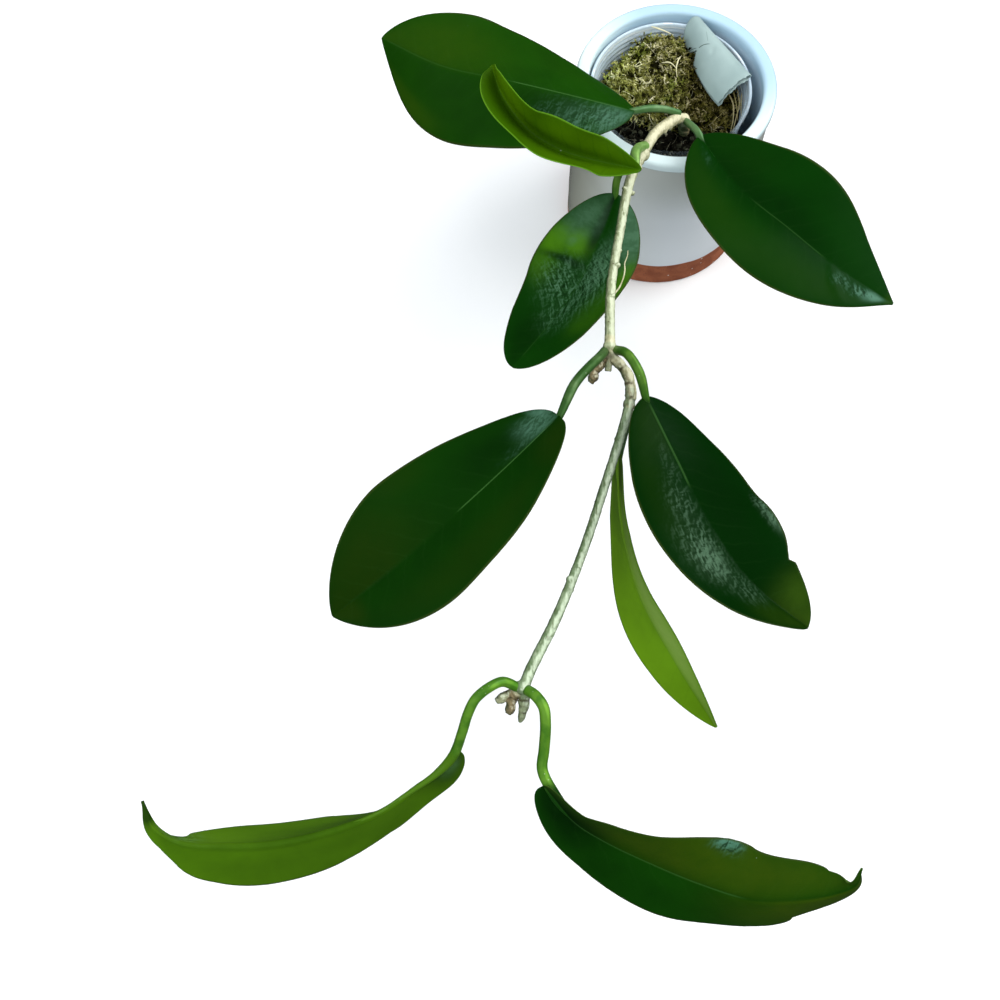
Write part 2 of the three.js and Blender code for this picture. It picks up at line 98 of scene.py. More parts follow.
class Builder:
    """Adds nodes to one tree, a call each."""

    def __init__(self, tree):
        self.tree = tree

    def __call__(self, kind, inputs=None, **settings):
        node = self.tree.nodes.new(kind)
        for name, value in settings.items():
            setattr(node, name, value)
        for name, value in (inputs or {}).items():
            self.fill(find(node.inputs, name), value)
        return node

    def fill(self, socket, value):
        if isinstance(value, bpy.types.NodeSocket):
            self.tree.links.new(value, socket)
        elif hasattr(value, "__len__") and socket.type == "RGBA" and len(value) == 3:
            socket.default_value = (*value, 1.0)
        else:
            socket.default_value = value

    def math(self, operation, *values, clamp=False):
        node = self("ShaderNodeMath", operation=operation, use_clamp=clamp)
        for socket, value in zip(node.inputs, values):
            self.fill(socket, value)
        return node.outputs[0]

    def mix(self, factor, first, second, blend="MIX"):
        values = {"Factor_Float": factor, "A_Color": first, "B_Color": second}
        node = self("ShaderNodeMix", values, data_type="RGBA", blend_type=blend)
        return find(node.outputs, "Result_Color")

    def ramp(self, value, low, high, start=0.0, end=1.0):
        """A soft step of value, from start at low to end at high."""
        values = {"Value": value, "From Min": low, "From Max": high, "To Min": start, "To Max": end}
        return self("ShaderNodeMapRange", values, interpolation_type="SMOOTHSTEP").outputs[0]

    def noise(self, place, scale, detail=2.0, rough=0.5, warp=0.0):
        values = {"Vector": place, "Scale": scale, "Detail": detail, "Roughness": rough}
        values["Distortion"] = warp
        return self("ShaderNodeTexNoise", values).outputs[0]

    def attribute(self, name, output="Vector"):
        return self("ShaderNodeAttribute", attribute_name=name).outputs[output]

    def place(self, output="Object"):
        return self("ShaderNodeTexCoord").outputs[output]

    def split(self, vector):
        return self("ShaderNodeSeparateXYZ", {"Vector": vector}).outputs

    def vector_math(self, operation, output=0, **inputs):
        """inputs are named first, second and Scale."""
        places = {"first": 0, "second": 1}
        values = {places.get(label, label): value for label, value in inputs.items()}
        return self("ShaderNodeVectorMath", values, operation=operation).outputs[output]

    def tinted(self, colour, tint):
        """A colour multiplied by another."""
        return self.mix(1.0, colour, tint, "MULTIPLY")


def node_group(name, kind, inputs, outputs):
    """A new group with named inputs, each (socket type, default), and named outputs."""
    tree = bpy.data.node_groups.new(name, kind)

    def add_socket(label, way, socket):
        return tree.interface.new_socket(name=label, in_out=way, socket_type="NodeSocket" + socket)

    for label, (socket, default) in inputs.items():
        made = add_socket(label, "INPUT", socket)
        if default is not None:
            made.default_value = default
    for label, socket in outputs.items():
        add_socket(label, "OUTPUT", socket)
    build = Builder(tree)
    return tree, build, build("NodeGroupInput").outputs, build("NodeGroupOutput").inputs


def new_material(name, **plain):
    """A material with a Principled BSDF. Values that are the same all over go on its own sockets."""
    made = bpy.data.materials.new(name)
    made.use_nodes = True
    shader = made.node_tree.nodes["Principled BSDF"]
    for label, value in plain.items():
        shader.inputs[label.replace("_", " ")].default_value = value
    return made, Builder(made.node_tree), shader


def bump(build, shader, height, distance, strength=1.0):
    """Feeds a height through a Bump node into the shader's normal."""
    values = {"Height": height, "Distance": distance, "Strength": strength}
    build.fill(shader.inputs["Normal"], build("ShaderNodeBump", values).outputs[0])


print("node shorthand ready")

# %% [markdown]
# ## Shared effects
# Three effects come back on several surfaces: soft mottling of a colour, scattered specks, and a
# fine uneven relief. Each is one shader group with its own inputs, placed in each material with
# other values.

# %% Shared effects
def mottle_group():
    inputs = {
        "Scale": ("Float", 50.0), "Detail": ("Float", 3.0), "Low": ("Float", 0.35), "High": ("Float", 0.65),
    }
    tree, build, given, result = node_group("mottle", "ShaderNodeTree", inputs, {"Mask": "Float"})
    cloud = build.noise(build.place(), given["Scale"], given["Detail"], 0.55, 0.3)
    build.fill(result["Mask"], build.ramp(cloud, given["Low"], given["High"]))
    return tree


def specks_group():
    inputs = {"Scale": ("Float", 500.0), "Share": ("Float", 0.2), "Size": ("Float", 0.3)}
    tree, build, given, result = node_group("specks", "ShaderNodeTree", inputs, {"Mask": "Float"})
    cells = build("ShaderNodeTexVoronoi", {"Vector": build.place(), "Scale": given["Scale"]})
    chosen = build.math("LESS_THAN", build.split(cells.outputs["Color"])[0], given["Share"])
    inner = build.math("MULTIPLY", given["Size"], 0.6)
    dot = build.ramp(cells.outputs["Distance"], inner, given["Size"], 1.0, 0.0)
    build.fill(result["Mask"], build.math("MULTIPLY", chosen, dot))
    return tree


def relief_group():
    inputs = {"Scale": ("Float", 800.0), "Detail": ("Float", 3.0), "Warp": ("Float", 0.0)}
    tree, build, given, result = node_group("fine_relief", "ShaderNodeTree", inputs, {"Height": "Float"})
    coarse = build.noise(build.place(), given["Scale"], given["Detail"], 0.6, given["Warp"])
    fine_scale = build.math("MULTIPLY", given["Scale"], 4.1)
    fine = build.noise(build.place(), fine_scale, 1.0)
    small = build.math("MULTIPLY", fine, 0.3)
    build.fill(result["Height"], build.math("ADD", coarse, small))
    return tree


MOTTLE = mottle_group()
SPECKS = specks_group()
RELIEF = relief_group()


def effect(build, group, **values):
    """One use of a shared group in a material, with its own values."""
    node = build("ShaderNodeGroup", node_tree=group)
    for label, value in values.items():
        build.fill(node.inputs[label], value)
    return node.outputs[0]


print("shared effects:", ", ".join(group.name for group in (MOTTLE, SPECKS, RELIEF)))

# %% [markdown]
# ## Light and floor
# The photo's light comes from the right: stems and pot are bright on that side and darker on the
# left. A wide soft key stands there, a bluer fill stands on the left, and a still softer light
# overhead fills the shadows. All three are kept out of glossy reflections, and so is the floor,
# since the leaves mirror a dark room, not lamps. One small window is seen in reflections only, for
# the glints. The floor is plain and pale.

# %% Light and floor
TARGET = Vector((-0.04, -0.16, 0.1))


def add_light(name, kind, azimuth, elevation, distance, energy, colour, **settings):
    """A light that looks at the plant. Azimuth 0 is behind it, 90 to its right."""
    lamp = bpy.data.lights.new(name, kind)
    lamp.energy = energy
    lamp.color = colour
    for setting, value in settings.items():
        setattr(lamp, setting, value)
    light = bpy.data.objects.new(name, lamp)
    turn, rise = math.radians(azimuth), math.radians(elevation)
    way = Vector((math.sin(turn) * math.cos(rise), math.cos(turn) * math.cos(rise), math.sin(rise)))
    light.location = TARGET + way * distance
    light.rotation_euler = way.to_track_quat("Z", "Y").to_euler()
    bpy.context.collection.objects.link(light)
    return light


def panel(width, height):
    """The settings of an area light of that size."""
    return {"shape": "RECTANGLE", "size": width, "size_y": height}


side_key = add_light("side_key", "AREA", 78.0, 45.0, 2.2, 38.0, (1.0, 0.985, 0.96), **panel(1.8, 1.6))
left_fill = add_light("left_fill", "AREA", 240.0, 38.0, 2.4, 30.0, (0.93, 0.97, 1.0), **panel(2.0, 1.6))
sun_spread = math.radians(150)
overhead = add_light("overhead_fill", "SUN", 60.0, 80.0, 3.0, 1.6, (0.97, 0.985, 1.0), angle=sun_spread)
window = add_light("glint_window", "AREA", 60.0, 42.0, 2.4, 6.5, (0.86, 0.94, 1.0), **panel(0.9, 0.9))
for light in (side_key, left_fill, overhead):
    light.visible_glossy = False
window.visible_diffuse = False
FLOOR_RADIUS = 7.0
FLOOR_DROP = 0.0002
ROOM_STRENGTH = 0.42
MIRRORED_STRENGTH = 0.04


def set_world():
    """White where the camera sees past the floor, dim in reflections, a soft fill elsewhere."""
    world = bpy.data.worlds.new("room")
    bpy.context.scene.world = world
    world.use_nodes = True
    build = Builder(world.node_tree)
    background = world.node_tree.nodes["Background"]
    path = build("ShaderNodeLightPath").outputs
    seen = path["Is Camera Ray"]
    build.fill(background.inputs["Color"], build.mix(seen, (0.86, 0.93, 1.0), (1.0, 1.0, 1.0)))
    drop = MIRRORED_STRENGTH - ROOM_STRENGTH
    mirrored = build.math("MULTIPLY_ADD", path["Is Glossy Ray"], drop, ROOM_STRENGTH)
    build.fill(background.inputs["Strength"], build.math("MAXIMUM", mirrored, seen))


def add_floor():
    low = (0, 0, -FLOOR_DROP)
    bpy.ops.mesh.primitive_circle_add(vertices=96, radius=FLOOR_RADIUS, fill_type="NGON", location=low)
    floor = bpy.context.object
    floor.name = "floor"
    paint, build, shader = new_material("floor_paint", Roughness=0.75, Specular_IOR_Level=0.2)
    cloud = effect(build, MOTTLE, Scale=1.2, Detail=2.0)
    colour = build.mix(cloud, (0.9, 0.905, 0.91), (0.93, 0.932, 0.935))
    build.fill(shader.inputs["Base Color"], colour)
    floor.data.materials.append(paint)
    floor.visible_glossy = False
    floor.visible_diffuse = False
    return floor


set_world()
floor = add_floor()
bpy.context.scene.view_settings.view_transform = "Standard"
lights = [light.name for light in (side_key, left_fill, overhead, window)]
print("lights:", ", ".join(lights), "and a pale floor", round(floor.dimensions.x, 1), "m wide")

# %% [markdown]
# ## Mesh shorthand
# Most pieces are rows of points joined by quads: a lathe is one outline turned round an axis, and
# a blade is one cross-section after another. The curves are Catmull-Rom splines that pass through
# a few chosen points, walked by length.

# %% Mesh shorthand
def grid_faces(rows, columns, closed=False, start=0, flip=False):
    """Quads over rows of points. closed joins each row's last point to its first."""
    row = np.arange(rows - 1)[:, None] * columns
    first = np.arange(columns if closed else columns - 1)[None, :]
    second = (first + 1) % columns
    quads = np.stack([row + first, row + second, row + columns + second, row + columns + first], -1)
    quads = quads.reshape(-1, 4) + start
    return quads[:, ::-1] if flip else quads


def new_mesh(name, points, faces, materials=()):
    """A smooth-shaded object from points in millimetres."""
    mesh = bpy.data.meshes.new(name)
    corners = [tuple(int(index) for index in face) for face in faces]
    mesh.from_pydata([tuple(point) for point in np.asarray(points) * MM], [], corners)
    mesh.validate()
    mesh.shade_smooth()
    for material in materials:
        mesh.materials.append(material)
    made = bpy.data.objects.new(name, mesh)
    bpy.context.collection.objects.link(made)
    return made


def set_attribute(piece, name, values):
    """Stores one number, or three, at each point of a piece."""
    values = np.asarray(values, dtype=np.float32)
    kind, field = ("FLOAT", "value") if values.ndim == 1 else ("FLOAT_VECTOR", "vector")
    layer = piece.data.attributes.new(name, kind, "POINT")
    layer.data.foreach_set(field, values.ravel())


def set_uv(piece, name, spread):
    """A UV map from a flat place, in metres, for each point of a piece."""
    corners = np.empty(len(piece.data.loops), dtype=np.int32)
    piece.data.loops.foreach_get("vertex_index", corners)
    piece.data.uv_layers.new(name=name).data.foreach_set("uv", spread[corners].ravel())


def outward_of(piece):
    """The outward direction at each point of a piece."""
    outward = np.empty(len(piece.data.vertices) * 3)
    piece.data.vertex_normals.foreach_get("vector", outward)
    return outward.reshape(-1, 3)


def places_of(piece):
    """Each point of a piece, in metres."""
    places = np.empty(len(piece.data.vertices) * 3)
    piece.data.vertices.foreach_get("co", places)
    return places.reshape(-1, 3)


SPLINE_STEPS = 25


def path_points(points, shares):
    """Places on a centripetal spline through points, at shares of its length."""
    points = np.asarray(points, dtype=float)
    ends = np.vstack([2 * points[0] - points[1], points, 2 * points[-1] - points[-2]])
    u = np.linspace(0, 1, SPLINE_STEPS)[:, None]
    pieces = []
    for k in range(len(points) - 1):
        a, b, c, d = ends[k : k + 4]
        legs = ((a, b), (b, c), (c, d))
        before, here, after = (max(np.linalg.norm(end - start) ** 0.5, 1e-4) for start, end in legs)
        way_in = ((b - a) / before - (c - a) / (before + here) + (c - b) / here) * here
        way_out = ((c - b) / here - (d - b) / (here + after) + (d - c) / after) * here
        cubic = (2 * (b - c) + way_in + way_out) * u**3
        pieces.append(b + way_in * u + (3 * (c - b) - 2 * way_in - way_out) * u**2 + cubic)
    walk = np.vstack([piece[:-1] for piece in pieces] + [points[-1:]])
    length = np.r_[0, np.cumsum(np.linalg.norm(np.diff(walk, axis=0), axis=1))]
    wanted = np.asarray(shares, dtype=float) * length[-1]
    return np.stack([np.interp(wanted, length, walk[:, k]) for k in range(points.shape[1])], -1)


def along(values, shares):
    """A value that runs smoothly through an evenly spaced list."""
    values = np.asarray(values, dtype=float)
    ends = np.r_[2 * values[0] - values[1], values, 2 * values[-1] - values[-2]]
    spans = len(values) - 1
    k = np.minimum((np.asarray(shares) * spans).astype(int), spans - 1)
    u = np.asarray(shares) * spans - k
    slope_in, slope_out = (ends[k + 2] - ends[k]) / 2, (ends[k + 3] - ends[k + 1]) / 2
    step = ends[k + 2] - ends[k + 1]
    cubic = slope_in + slope_out - 2 * step
    return ends[k + 1] + slope_in * u + (3 * step - 2 * slope_in - slope_out) * u**2 + cubic * u**3


def unit(vectors):
    return vectors / np.linalg.norm(vectors, axis=-1, keepdims=True)


def joined(name, pieces):
    """Several objects made into one."""
    chosen = {"active_object": pieces[0], "selected_editable_objects": pieces}
    with bpy.context.temp_override(**chosen):
        bpy.ops.object.join()
    pieces[0].name = name
    pieces[0].data.name = name
    return pieces[0]


def plain_copy(piece, name):
    """What a piece's modifiers make of it, as a plain mesh. The piece itself is removed."""
    graph = bpy.context.evaluated_depsgraph_get()
    mesh = bpy.data.meshes.new_from_object(piece.evaluated_get(graph), depsgraph=graph)
    mesh.name = name
    made = bpy.data.objects.new(name, mesh)
    bpy.context.collection.objects.link(made)
    bpy.data.objects.remove(piece)
    return made


def close_holes(piece):
    """Fills every open loop of edges with one face."""
    shape = bmesh.new()
    shape.from_mesh(piece.data)
    bmesh.ops.holes_fill(shape, edges=shape.edges, sides=0)
    shape.to_mesh(piece.data)
    shape.free()


PIECES = []


def finish_piece(piece, slot, *nodes):
    """The piece rides on the plant's one body and stands for the solids. Its slot is not used."""
    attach(piece, "root")
    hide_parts(*nodes)
    triangles = sum(len(face.vertices) - 2 for face in piece.data.polygons)
    PIECES.append(triangles)
    print(f"{piece.name}: {triangles} triangles")


print("mesh shorthand ready")

# %% [markdown]
# ## Cover pot
# The pot is thrown terracotta dipped in a pale blue-white glaze up to a line near its foot. It is
# a lathe form, so one outline with rounded corners is turned round the axis. The glaze is the
# material's upper part: its lower edge wanders a little and runs down at the left, as a dipped
# edge does, and a few white drops sit on the bare clay. Light and shade are painted into the wall's
# colour: painted shade makes it dull on the left, painted light makes it clear low on the right,
# the cyan lip is painted brighter on the left and front than on the right, and the inner wall is
# painted the pale blue it shows in the shade inside the pot.

# %% Cover pot
POT_OUTLINE = [
    (0, 0, 0), (52.3, 0, 1.6), (52.3, 15, 4.0), (52.6, 24, 4.0), (51.9, 109.3, 1.0), (53.2, 110.6, 1.0),
    (53.2, 116, 2.4), (46, 116, 2.5), (45.6, 20, 6.0), (43.5, 8, 5.0), (0, 8, 0),
]
GLAZE_START = 19.3
GLAZE_DIP = 0.016
LIP_START = 108.5
INNER_WALL = 48.0
POT_SIDES = 144


def rounded(outline, steps=6):
    """An outline whose corners are rounded, each by its own third number."""
    corners = np.array([corner[:2] for corner in outline], dtype=float)
    points = [corners[0]]
    for k in range(1, len(outline) - 1):
        radius = outline[k][2]
        here = corners[k]
        back, ahead = corners[k - 1] - here, corners[k + 1] - here
        cut = min(radius, 0.45 * np.linalg.norm(back), 0.45 * np.linalg.norm(ahead))
        start, end = here + back / np.linalg.norm(back) * cut, here + ahead / np.linalg.norm(ahead) * cut
        for u in np.linspace(0, 1, steps):
            points.append((1 - u) ** 2 * start + 2 * u * (1 - u) * here + u * u * end)
    points.append(corners[-1])
    return np.array(points)


def subdivided(outline, longest):
    """An outline with extra points where its stretches are long."""
    points = [outline[0]]
    for a, b in zip(outline[:-1], outline[1:]):
        count = max(1, int(np.ceil(np.linalg.norm(b - a) / longest)))
        points.extend(a + (b - a) * (k + 1) / count for k in range(count))
    return np.array(points)


def lathe(name, outline, sides, materials, centre=(0, 0), wobble=None):
    """An outline of (radius, height) that starts and ends on the axis, turned round it."""
    turn = np.arange(sides) * 2 * math.pi / sides
    radius, height = outline[1:-1, 0], outline[1:-1, 1]
    rings = np.empty((len(radius), sides, 3))
    reach = radius[:, None] + (wobble(turn[None, :], height[:, None]) if wobble else 0)
    rings[..., 0] = centre[0] + reach * np.cos(turn)
    rings[..., 1] = centre[1] + reach * np.sin(turn)
    rings[..., 2] = height[:, None]
    ends = [[*centre, outline[0, 1]], [*centre, outline[-1, 1]]]
    points = np.vstack([rings.reshape(-1, 3), ends])
    low, high, last = len(points) - 2, len(points) - 1, (len(radius) - 1) * sides
    faces = [tuple(f) for f in grid_faces(len(radius), sides, closed=True)]
    faces += [(low, (k + 1) % sides, k) for k in range(sides)]
    faces += [(high, last + k, last + (k + 1) % sides) for k in range(sides)]
    return new_mesh(name, points, faces, materials)


def glaze_material():
    made, build, shader = new_material("glaze_on_terracotta", IOR=1.5, Coat_Roughness=0.06)
    across, depth, height = build.split(build.place())
    drift = build.math("MULTIPLY", build.noise(build.place(), 55.0, 2.0), 0.0022)
    slope = build.math("MULTIPLY_ADD", across, 0.02, build.math("SUBTRACT", height, drift))
    dipped = build.ramp(across, -54 * MM, -42 * MM, 1.0, 0.0)
    edge = build.math("MULTIPLY_ADD", dipped, GLAZE_DIP, slope)
    glazed = build.ramp(edge, (GLAZE_START - 1.5) * MM, (GLAZE_START - 0.8) * MM)
    clay = build.mix(effect(build, MOTTLE, Scale=120.0), (0.29, 0.08, 0.032), (0.4, 0.12, 0.048))
    clay = build.mix(effect(build, SPECKS, Scale=420.0, Share=0.1, Size=0.28), clay, (0.72, 0.66, 0.58))
    clay = build.mix(effect(build, SPECKS, Scale=900.0, Share=0.2, Size=0.3), clay, (0.12, 0.045, 0.03))
    shell = build.mix(effect(build, MOTTLE, Scale=22.0), (0.56, 0.59, 0.54), (0.62, 0.65, 0.6))
    # Painted light: the wall is made paler low on the right, where the light falls.
    low = build.ramp(height, 60 * MM, 103 * MM, 1.0, 0.0)
    painted_light = build.math("MULTIPLY", low, build.ramp(across, -42 * MM, 8 * MM))
    shell = build.mix(painted_light, shell, (0.94, 0.98, 1.0))
    # Painted shade: the wall is darker and warmer on the left.
    painted_left_shade = build.ramp(across, -52 * MM, -30 * MM, 0.8, 0.0)
    shell = build.mix(painted_left_shade, shell, (0.34, 0.34, 0.26))
    # Painted shade tone: the inner wall takes the pale blue it shows in the shade inside the pot.
    flat_place = build.vector_math("MULTIPLY", first=build.place(), second=(1, 1, 0))
    reach = build.vector_math("LENGTH", "Value", first=flat_place)
    inside = build.ramp(reach, INNER_WALL * MM, (INNER_WALL + 2) * MM, 1.0, 0.0)
    shell = build.mix(inside, shell, (0.6, 0.76, 0.88))
    # The lip is a paler cyan glaze, with painted light making it brighter on the left and front and darker on
    # the right.
    lip = build.ramp(height, LIP_START * MM, (LIP_START + 3) * MM)
    left = build.ramp(across, -52 * MM, -12 * MM, 1.0, 0.0)
    front = build.ramp(depth, -45 * MM, 5 * MM, 1.0, 0.0)
    lip_tint_and_painted_light = build.mix(build.math("MAXIMUM", left, front), (0.45, 0.64, 0.77), (0.84, 1.0, 1.0))
    shell = build.mix(lip, shell, lip_tint_and_painted_light)
    shell = build.mix(effect(build, SPECKS, Scale=260.0, Share=0.02, Size=0.14), shell, (0.5, 0.47, 0.43))
    build.fill(shader.inputs["Base Color"], build.mix(glazed, clay, shell))
    build.fill(shader.inputs["Roughness"], build.math("MULTIPLY_ADD", glazed, -0.62, 0.85))
    build.fill(shader.inputs["Coat Weight"], build.math("MULTIPLY", glazed, 0.5))
    grain = effect(build, RELIEF, Scale=1400.0, Detail=2.0)
    ripple = effect(build, RELIEF, Scale=90.0, Detail=1.0)
    clay_grain = build.math("MULTIPLY", grain, build.math("SUBTRACT", 1.0, glazed))
    bump(build, shader, build.math("MULTIPLY_ADD", ripple, 0.4, clay_grain), 0.00025, 0.6)
    return made


def thrown(turn, height):
    """The slight unevenness of a thrown wall, in millimetres."""
    return 0.12 * np.sin(2 * turn + 0.02 * height) + 0.07 * np.sin(3 * turn + height / 17)


outline = subdivided(rounded(POT_OUTLINE), longest=4.0)
pot = lathe("cover_pot_glazed", outline, POT_SIDES, [glaze_material()], wobble=thrown)
finish_piece(pot, "glaze", "cover_pot")

# %% [markdown]
# ## Clear nursery liner
# The liner is thin clear plastic. What shows of it is its rim, the moulded rings below it and the
# streaks of light on them, which are painted highlights. Real refraction through two thin walls is
# slow and hardly visible, so the wall is drawn as a film: partly see-through, denser where a ring
# bends it and at its rim, and almost clear on the near side, where one looks down past it.

# %% Clear nursery liner
LINER_PLACE = (-2.1, 1.0)
LINER_TOP = 111.5
LINER_WALL = 0.9
LINER_LOW = 8.3
LINER_FLOOR_RADIUS = 32
LINER_TOP_RADIUS = 41.9
POT_FLOOR = 8
LINER_SIDES = 120
RING_START = 92
RING_PITCH = 3.1
RING_HEIGHT = 0.28


def liner_radius(height):
    """The liner's wall tapers from its top to its floor."""
    widening = LINER_TOP_RADIUS - LINER_FLOOR_RADIUS
    return LINER_FLOOR_RADIUS + widening * (height - POT_FLOOR) / (LINER_TOP - POT_FLOOR)


def liner_outline():
    """Up the outside with its moulded rings, over the rim and down the inside."""
    heights = np.linspace(RING_START, 108.2, 60)
    wave = np.sin((heights - RING_START) * 2 * math.pi / RING_PITCH)
    rings = liner_radius(heights) + RING_HEIGHT * wave
    inner_low = LINER_LOW + LINER_WALL
    floor = [(0, LINER_LOW), (LINER_FLOOR_RADIUS, LINER_LOW)]
    outer = [*floor, *zip(rings, heights), (42.3, 109.3), (42.9, 109.8)]
    rim = [(42.9, LINER_TOP - 0.5), (42.3, LINER_TOP), (41.5, LINER_TOP), (41.2, LINER_TOP - 0.6)]
    inner = [*zip(rings[::-1] - LINER_WALL, heights[::-1]), (LINER_FLOOR_RADIUS - LINER_WALL, inner_low)]
    return np.array([*outer, *rim, *inner, (0, inner_low)])


def clear_plastic():
    made, build, shader = new_material("clear_plastic", IOR=1.5, Specular_IOR_Level=1.0, Coat_Weight=1.0)
    _, depth, height = build.split(build.place())
    wave = build.math("SINE", build.math("MULTIPLY", height, 2 * math.pi / (RING_PITCH * MM)))
    ring = build.ramp(wave, 0.2, 1.0)
    haze = effect(build, MOTTLE, Scale=70.0, Detail=4.0)
    rim = build.ramp(height, (LINER_TOP - 2.2) * MM, (LINER_TOP - 1.2) * MM)
    alpha = build.math("MULTIPLY_ADD", ring, 0.22, 0.56)
    alpha = build.math("MULTIPLY_ADD", haze, 0.12, alpha)
    alpha = build.math("MULTIPLY_ADD", rim, 0.22, alpha, clamp=True)
    back = build.ramp(depth, -34 * MM, 12 * MM, 0.03, 1.0)
    # Painted highlights: thin white streaks round the wall, which also make the film denser.
    long_way = build("ShaderNodeMapping", {"Vector": build.place(), "Scale": (70, 70, 1500)}).outputs[0]
    painted_glints = build.ramp(build.noise(long_way, 1.0, 3.0, 0.7), 0.58, 0.68)
    alpha = build.math("MULTIPLY_ADD", painted_glints, 0.5, alpha, clamp=True)
    alpha = build.math("MULTIPLY", alpha, back)
    film = build.mix(ring, (0.74, 0.89, 1.0), (0.92, 1.0, 1.0))
    build.fill(shader.inputs["Base Color"], build.mix(painted_glints, film, (1.0, 1.0, 1.0)))
    build.fill(shader.inputs["Alpha"], alpha)
    build.fill(shader.inputs["Roughness"], build.math("MULTIPLY_ADD", haze, 0.15, 0.12))
    bump(build, shader, effect(build, RELIEF, Scale=260.0, Detail=2.0, Warp=1.0), 0.0006, 0.5)
    return made


liner = lathe("nursery_liner_clear", liner_outline(), LINER_SIDES, [clear_plastic()], LINER_PLACE)
finish_piece(liner, "clear_plastic", "nursery_liner")

# %% [markdown]
# ## Scattering bits over a surface
# Moss and potting mix are both thousands of small bits on a surface, which is work for Geometry
# Nodes. One tree serves both: it throws points on the surface, puts a bit from a collection on
# each, leans it over, turns and sizes it at random from a fixed seed, and gives it a random tone
# that the material turns into colour. Instances are realized at the end, so the result is a plain
# mesh.

# %% Scattering bits over a surface
def scatter_tree():
    inputs = {
        "Geometry": ("Geometry", None), "Bits": ("Collection", None), "Density": ("Float", 1.0),
        "Smallest": ("Float", 0.6), "Largest": ("Float", 1.3), "Lean": ("Float", 1.0),
        "Seed": ("Int", 1), "Material": ("Material", None),
    }
    outputs = {"Geometry": "Geometry"}
    tree, build, given, result = node_group("scatter_bits", "GeometryNodeTree", inputs, outputs)

    def random_number(seed, **limits):
        values = {"Seed": seed, **limits}
        return find(build("FunctionNodeRandomValue", values, data_type="FLOAT").outputs, "Value_001")

    values = {"Mesh": given["Geometry"], "Density": given["Density"], "Seed": given["Seed"]}
    thrown_points = build("GeometryNodeDistributePointsOnFaces", values, distribute_method="RANDOM")
    low = build("ShaderNodeCombineXYZ", {"X": -1.0, "Y": -1.0, "Z": -0.3}).outputs[0]
    high = build("ShaderNodeCombineXYZ", {"X": 1.0, "Y": 1.0, "Z": 0.6}).outputs[0]
    values = {"Min": low, "Max": high, "Seed": given["Seed"]}
    random_way = build("FunctionNodeRandomValue", values, data_type="FLOAT_VECTOR").outputs
    leaned = build.vector_math("SCALE", first=find(random_way, "Value"), Scale=given["Lean"])
    way = build.vector_math("ADD", first=thrown_points.outputs["Normal"], second=leaned)
    upright = build("FunctionNodeAlignRotationToVector", {"Vector": way}, axis="Z").outputs[0]
    spin = random_number(build.math("ADD", given["Seed"], 7.0), Max_001=2 * math.pi)
    turn = build("ShaderNodeCombineXYZ", {"Z": spin}).outputs[0]
    values = {"Rotation": upright, "Rotate By": turn}
    spun = build("FunctionNodeRotateRotation", values, rotation_space="LOCAL")
    size = random_number(given["Seed"], Min_001=given["Smallest"], Max_001=given["Largest"])
    bits = build("GeometryNodeCollectionInfo", {"Collection": given["Bits"], "Separate Children": True})
    values = {
        "Points": thrown_points.outputs["Points"], "Instance": bits.outputs[0], "Pick Instance": True,
        "Rotation": spun.outputs[0], "Scale": size,
    }
    placed = build("GeometryNodeInstanceOnPoints", values)
    tone = random_number(build.math("ADD", given["Seed"], 13.0))
    values = {"Geometry": placed.outputs[0], "Name": "tone", "Value": tone}
    toned = build("GeometryNodeStoreNamedAttribute", values, data_type="FLOAT", domain="INSTANCE")
    plain = build("GeometryNodeRealizeInstances", {"Geometry": toned.outputs[0]})
    values = {"Geometry": plain.outputs[0], "Material": given["Material"]}
    build.fill(result["Geometry"], build("GeometryNodeSetMaterial", values).outputs[0])
    return tree


SCATTER = scatter_tree()


def add_nodes(piece, tree, **values):
    """A Geometry Nodes modifier whose inputs are set by their sockets' identifiers."""
    modifier = piece.modifiers.new(tree.name, "NODES")
    modifier.node_group = tree
    sockets = {item.name: item.identifier for item in tree.interface.items_tree if item.in_out == "INPUT"}
    for label, value in values.items():
        modifier[sockets[label]] = value
    return modifier


def scatter(name, surface, bits, density, smallest, largest, lean, seed, material):
    """Bits over a surface, as a plain mesh of their own. The surface stays and the bits go."""
    kept = bpy.data.collections.new(name + "_bits")
    bpy.context.scene.collection.children.link(kept)
    for bit in bits:
        bpy.context.collection.objects.unlink(bit)
        kept.objects.link(bit)
    carrier = bpy.data.objects.new(name, surface.data.copy())
    bpy.context.collection.objects.link(carrier)
    values = {"Density": density / MM**2, "Smallest": smallest, "Largest": largest, "Lean": lean}
    add_nodes(carrier, SCATTER, Bits=kept, Seed=seed, Material=material, **values)
    made = plain_copy(carrier, name)
    for bit in bits:
        bpy.data.objects.remove(bit)
    bpy.data.collections.remove(kept)
    return made


print("scatter tree has", len(SCATTER.nodes), "nodes")

# %% [markdown]
# ## Shoots along a path
# Stalks, the vine, roots and moss strands are all round and follow a path, with a girth that
# changes on the way. A second tree sweeps a circle along a curve, sized by a stored girth, and
# roughens the skin a little.

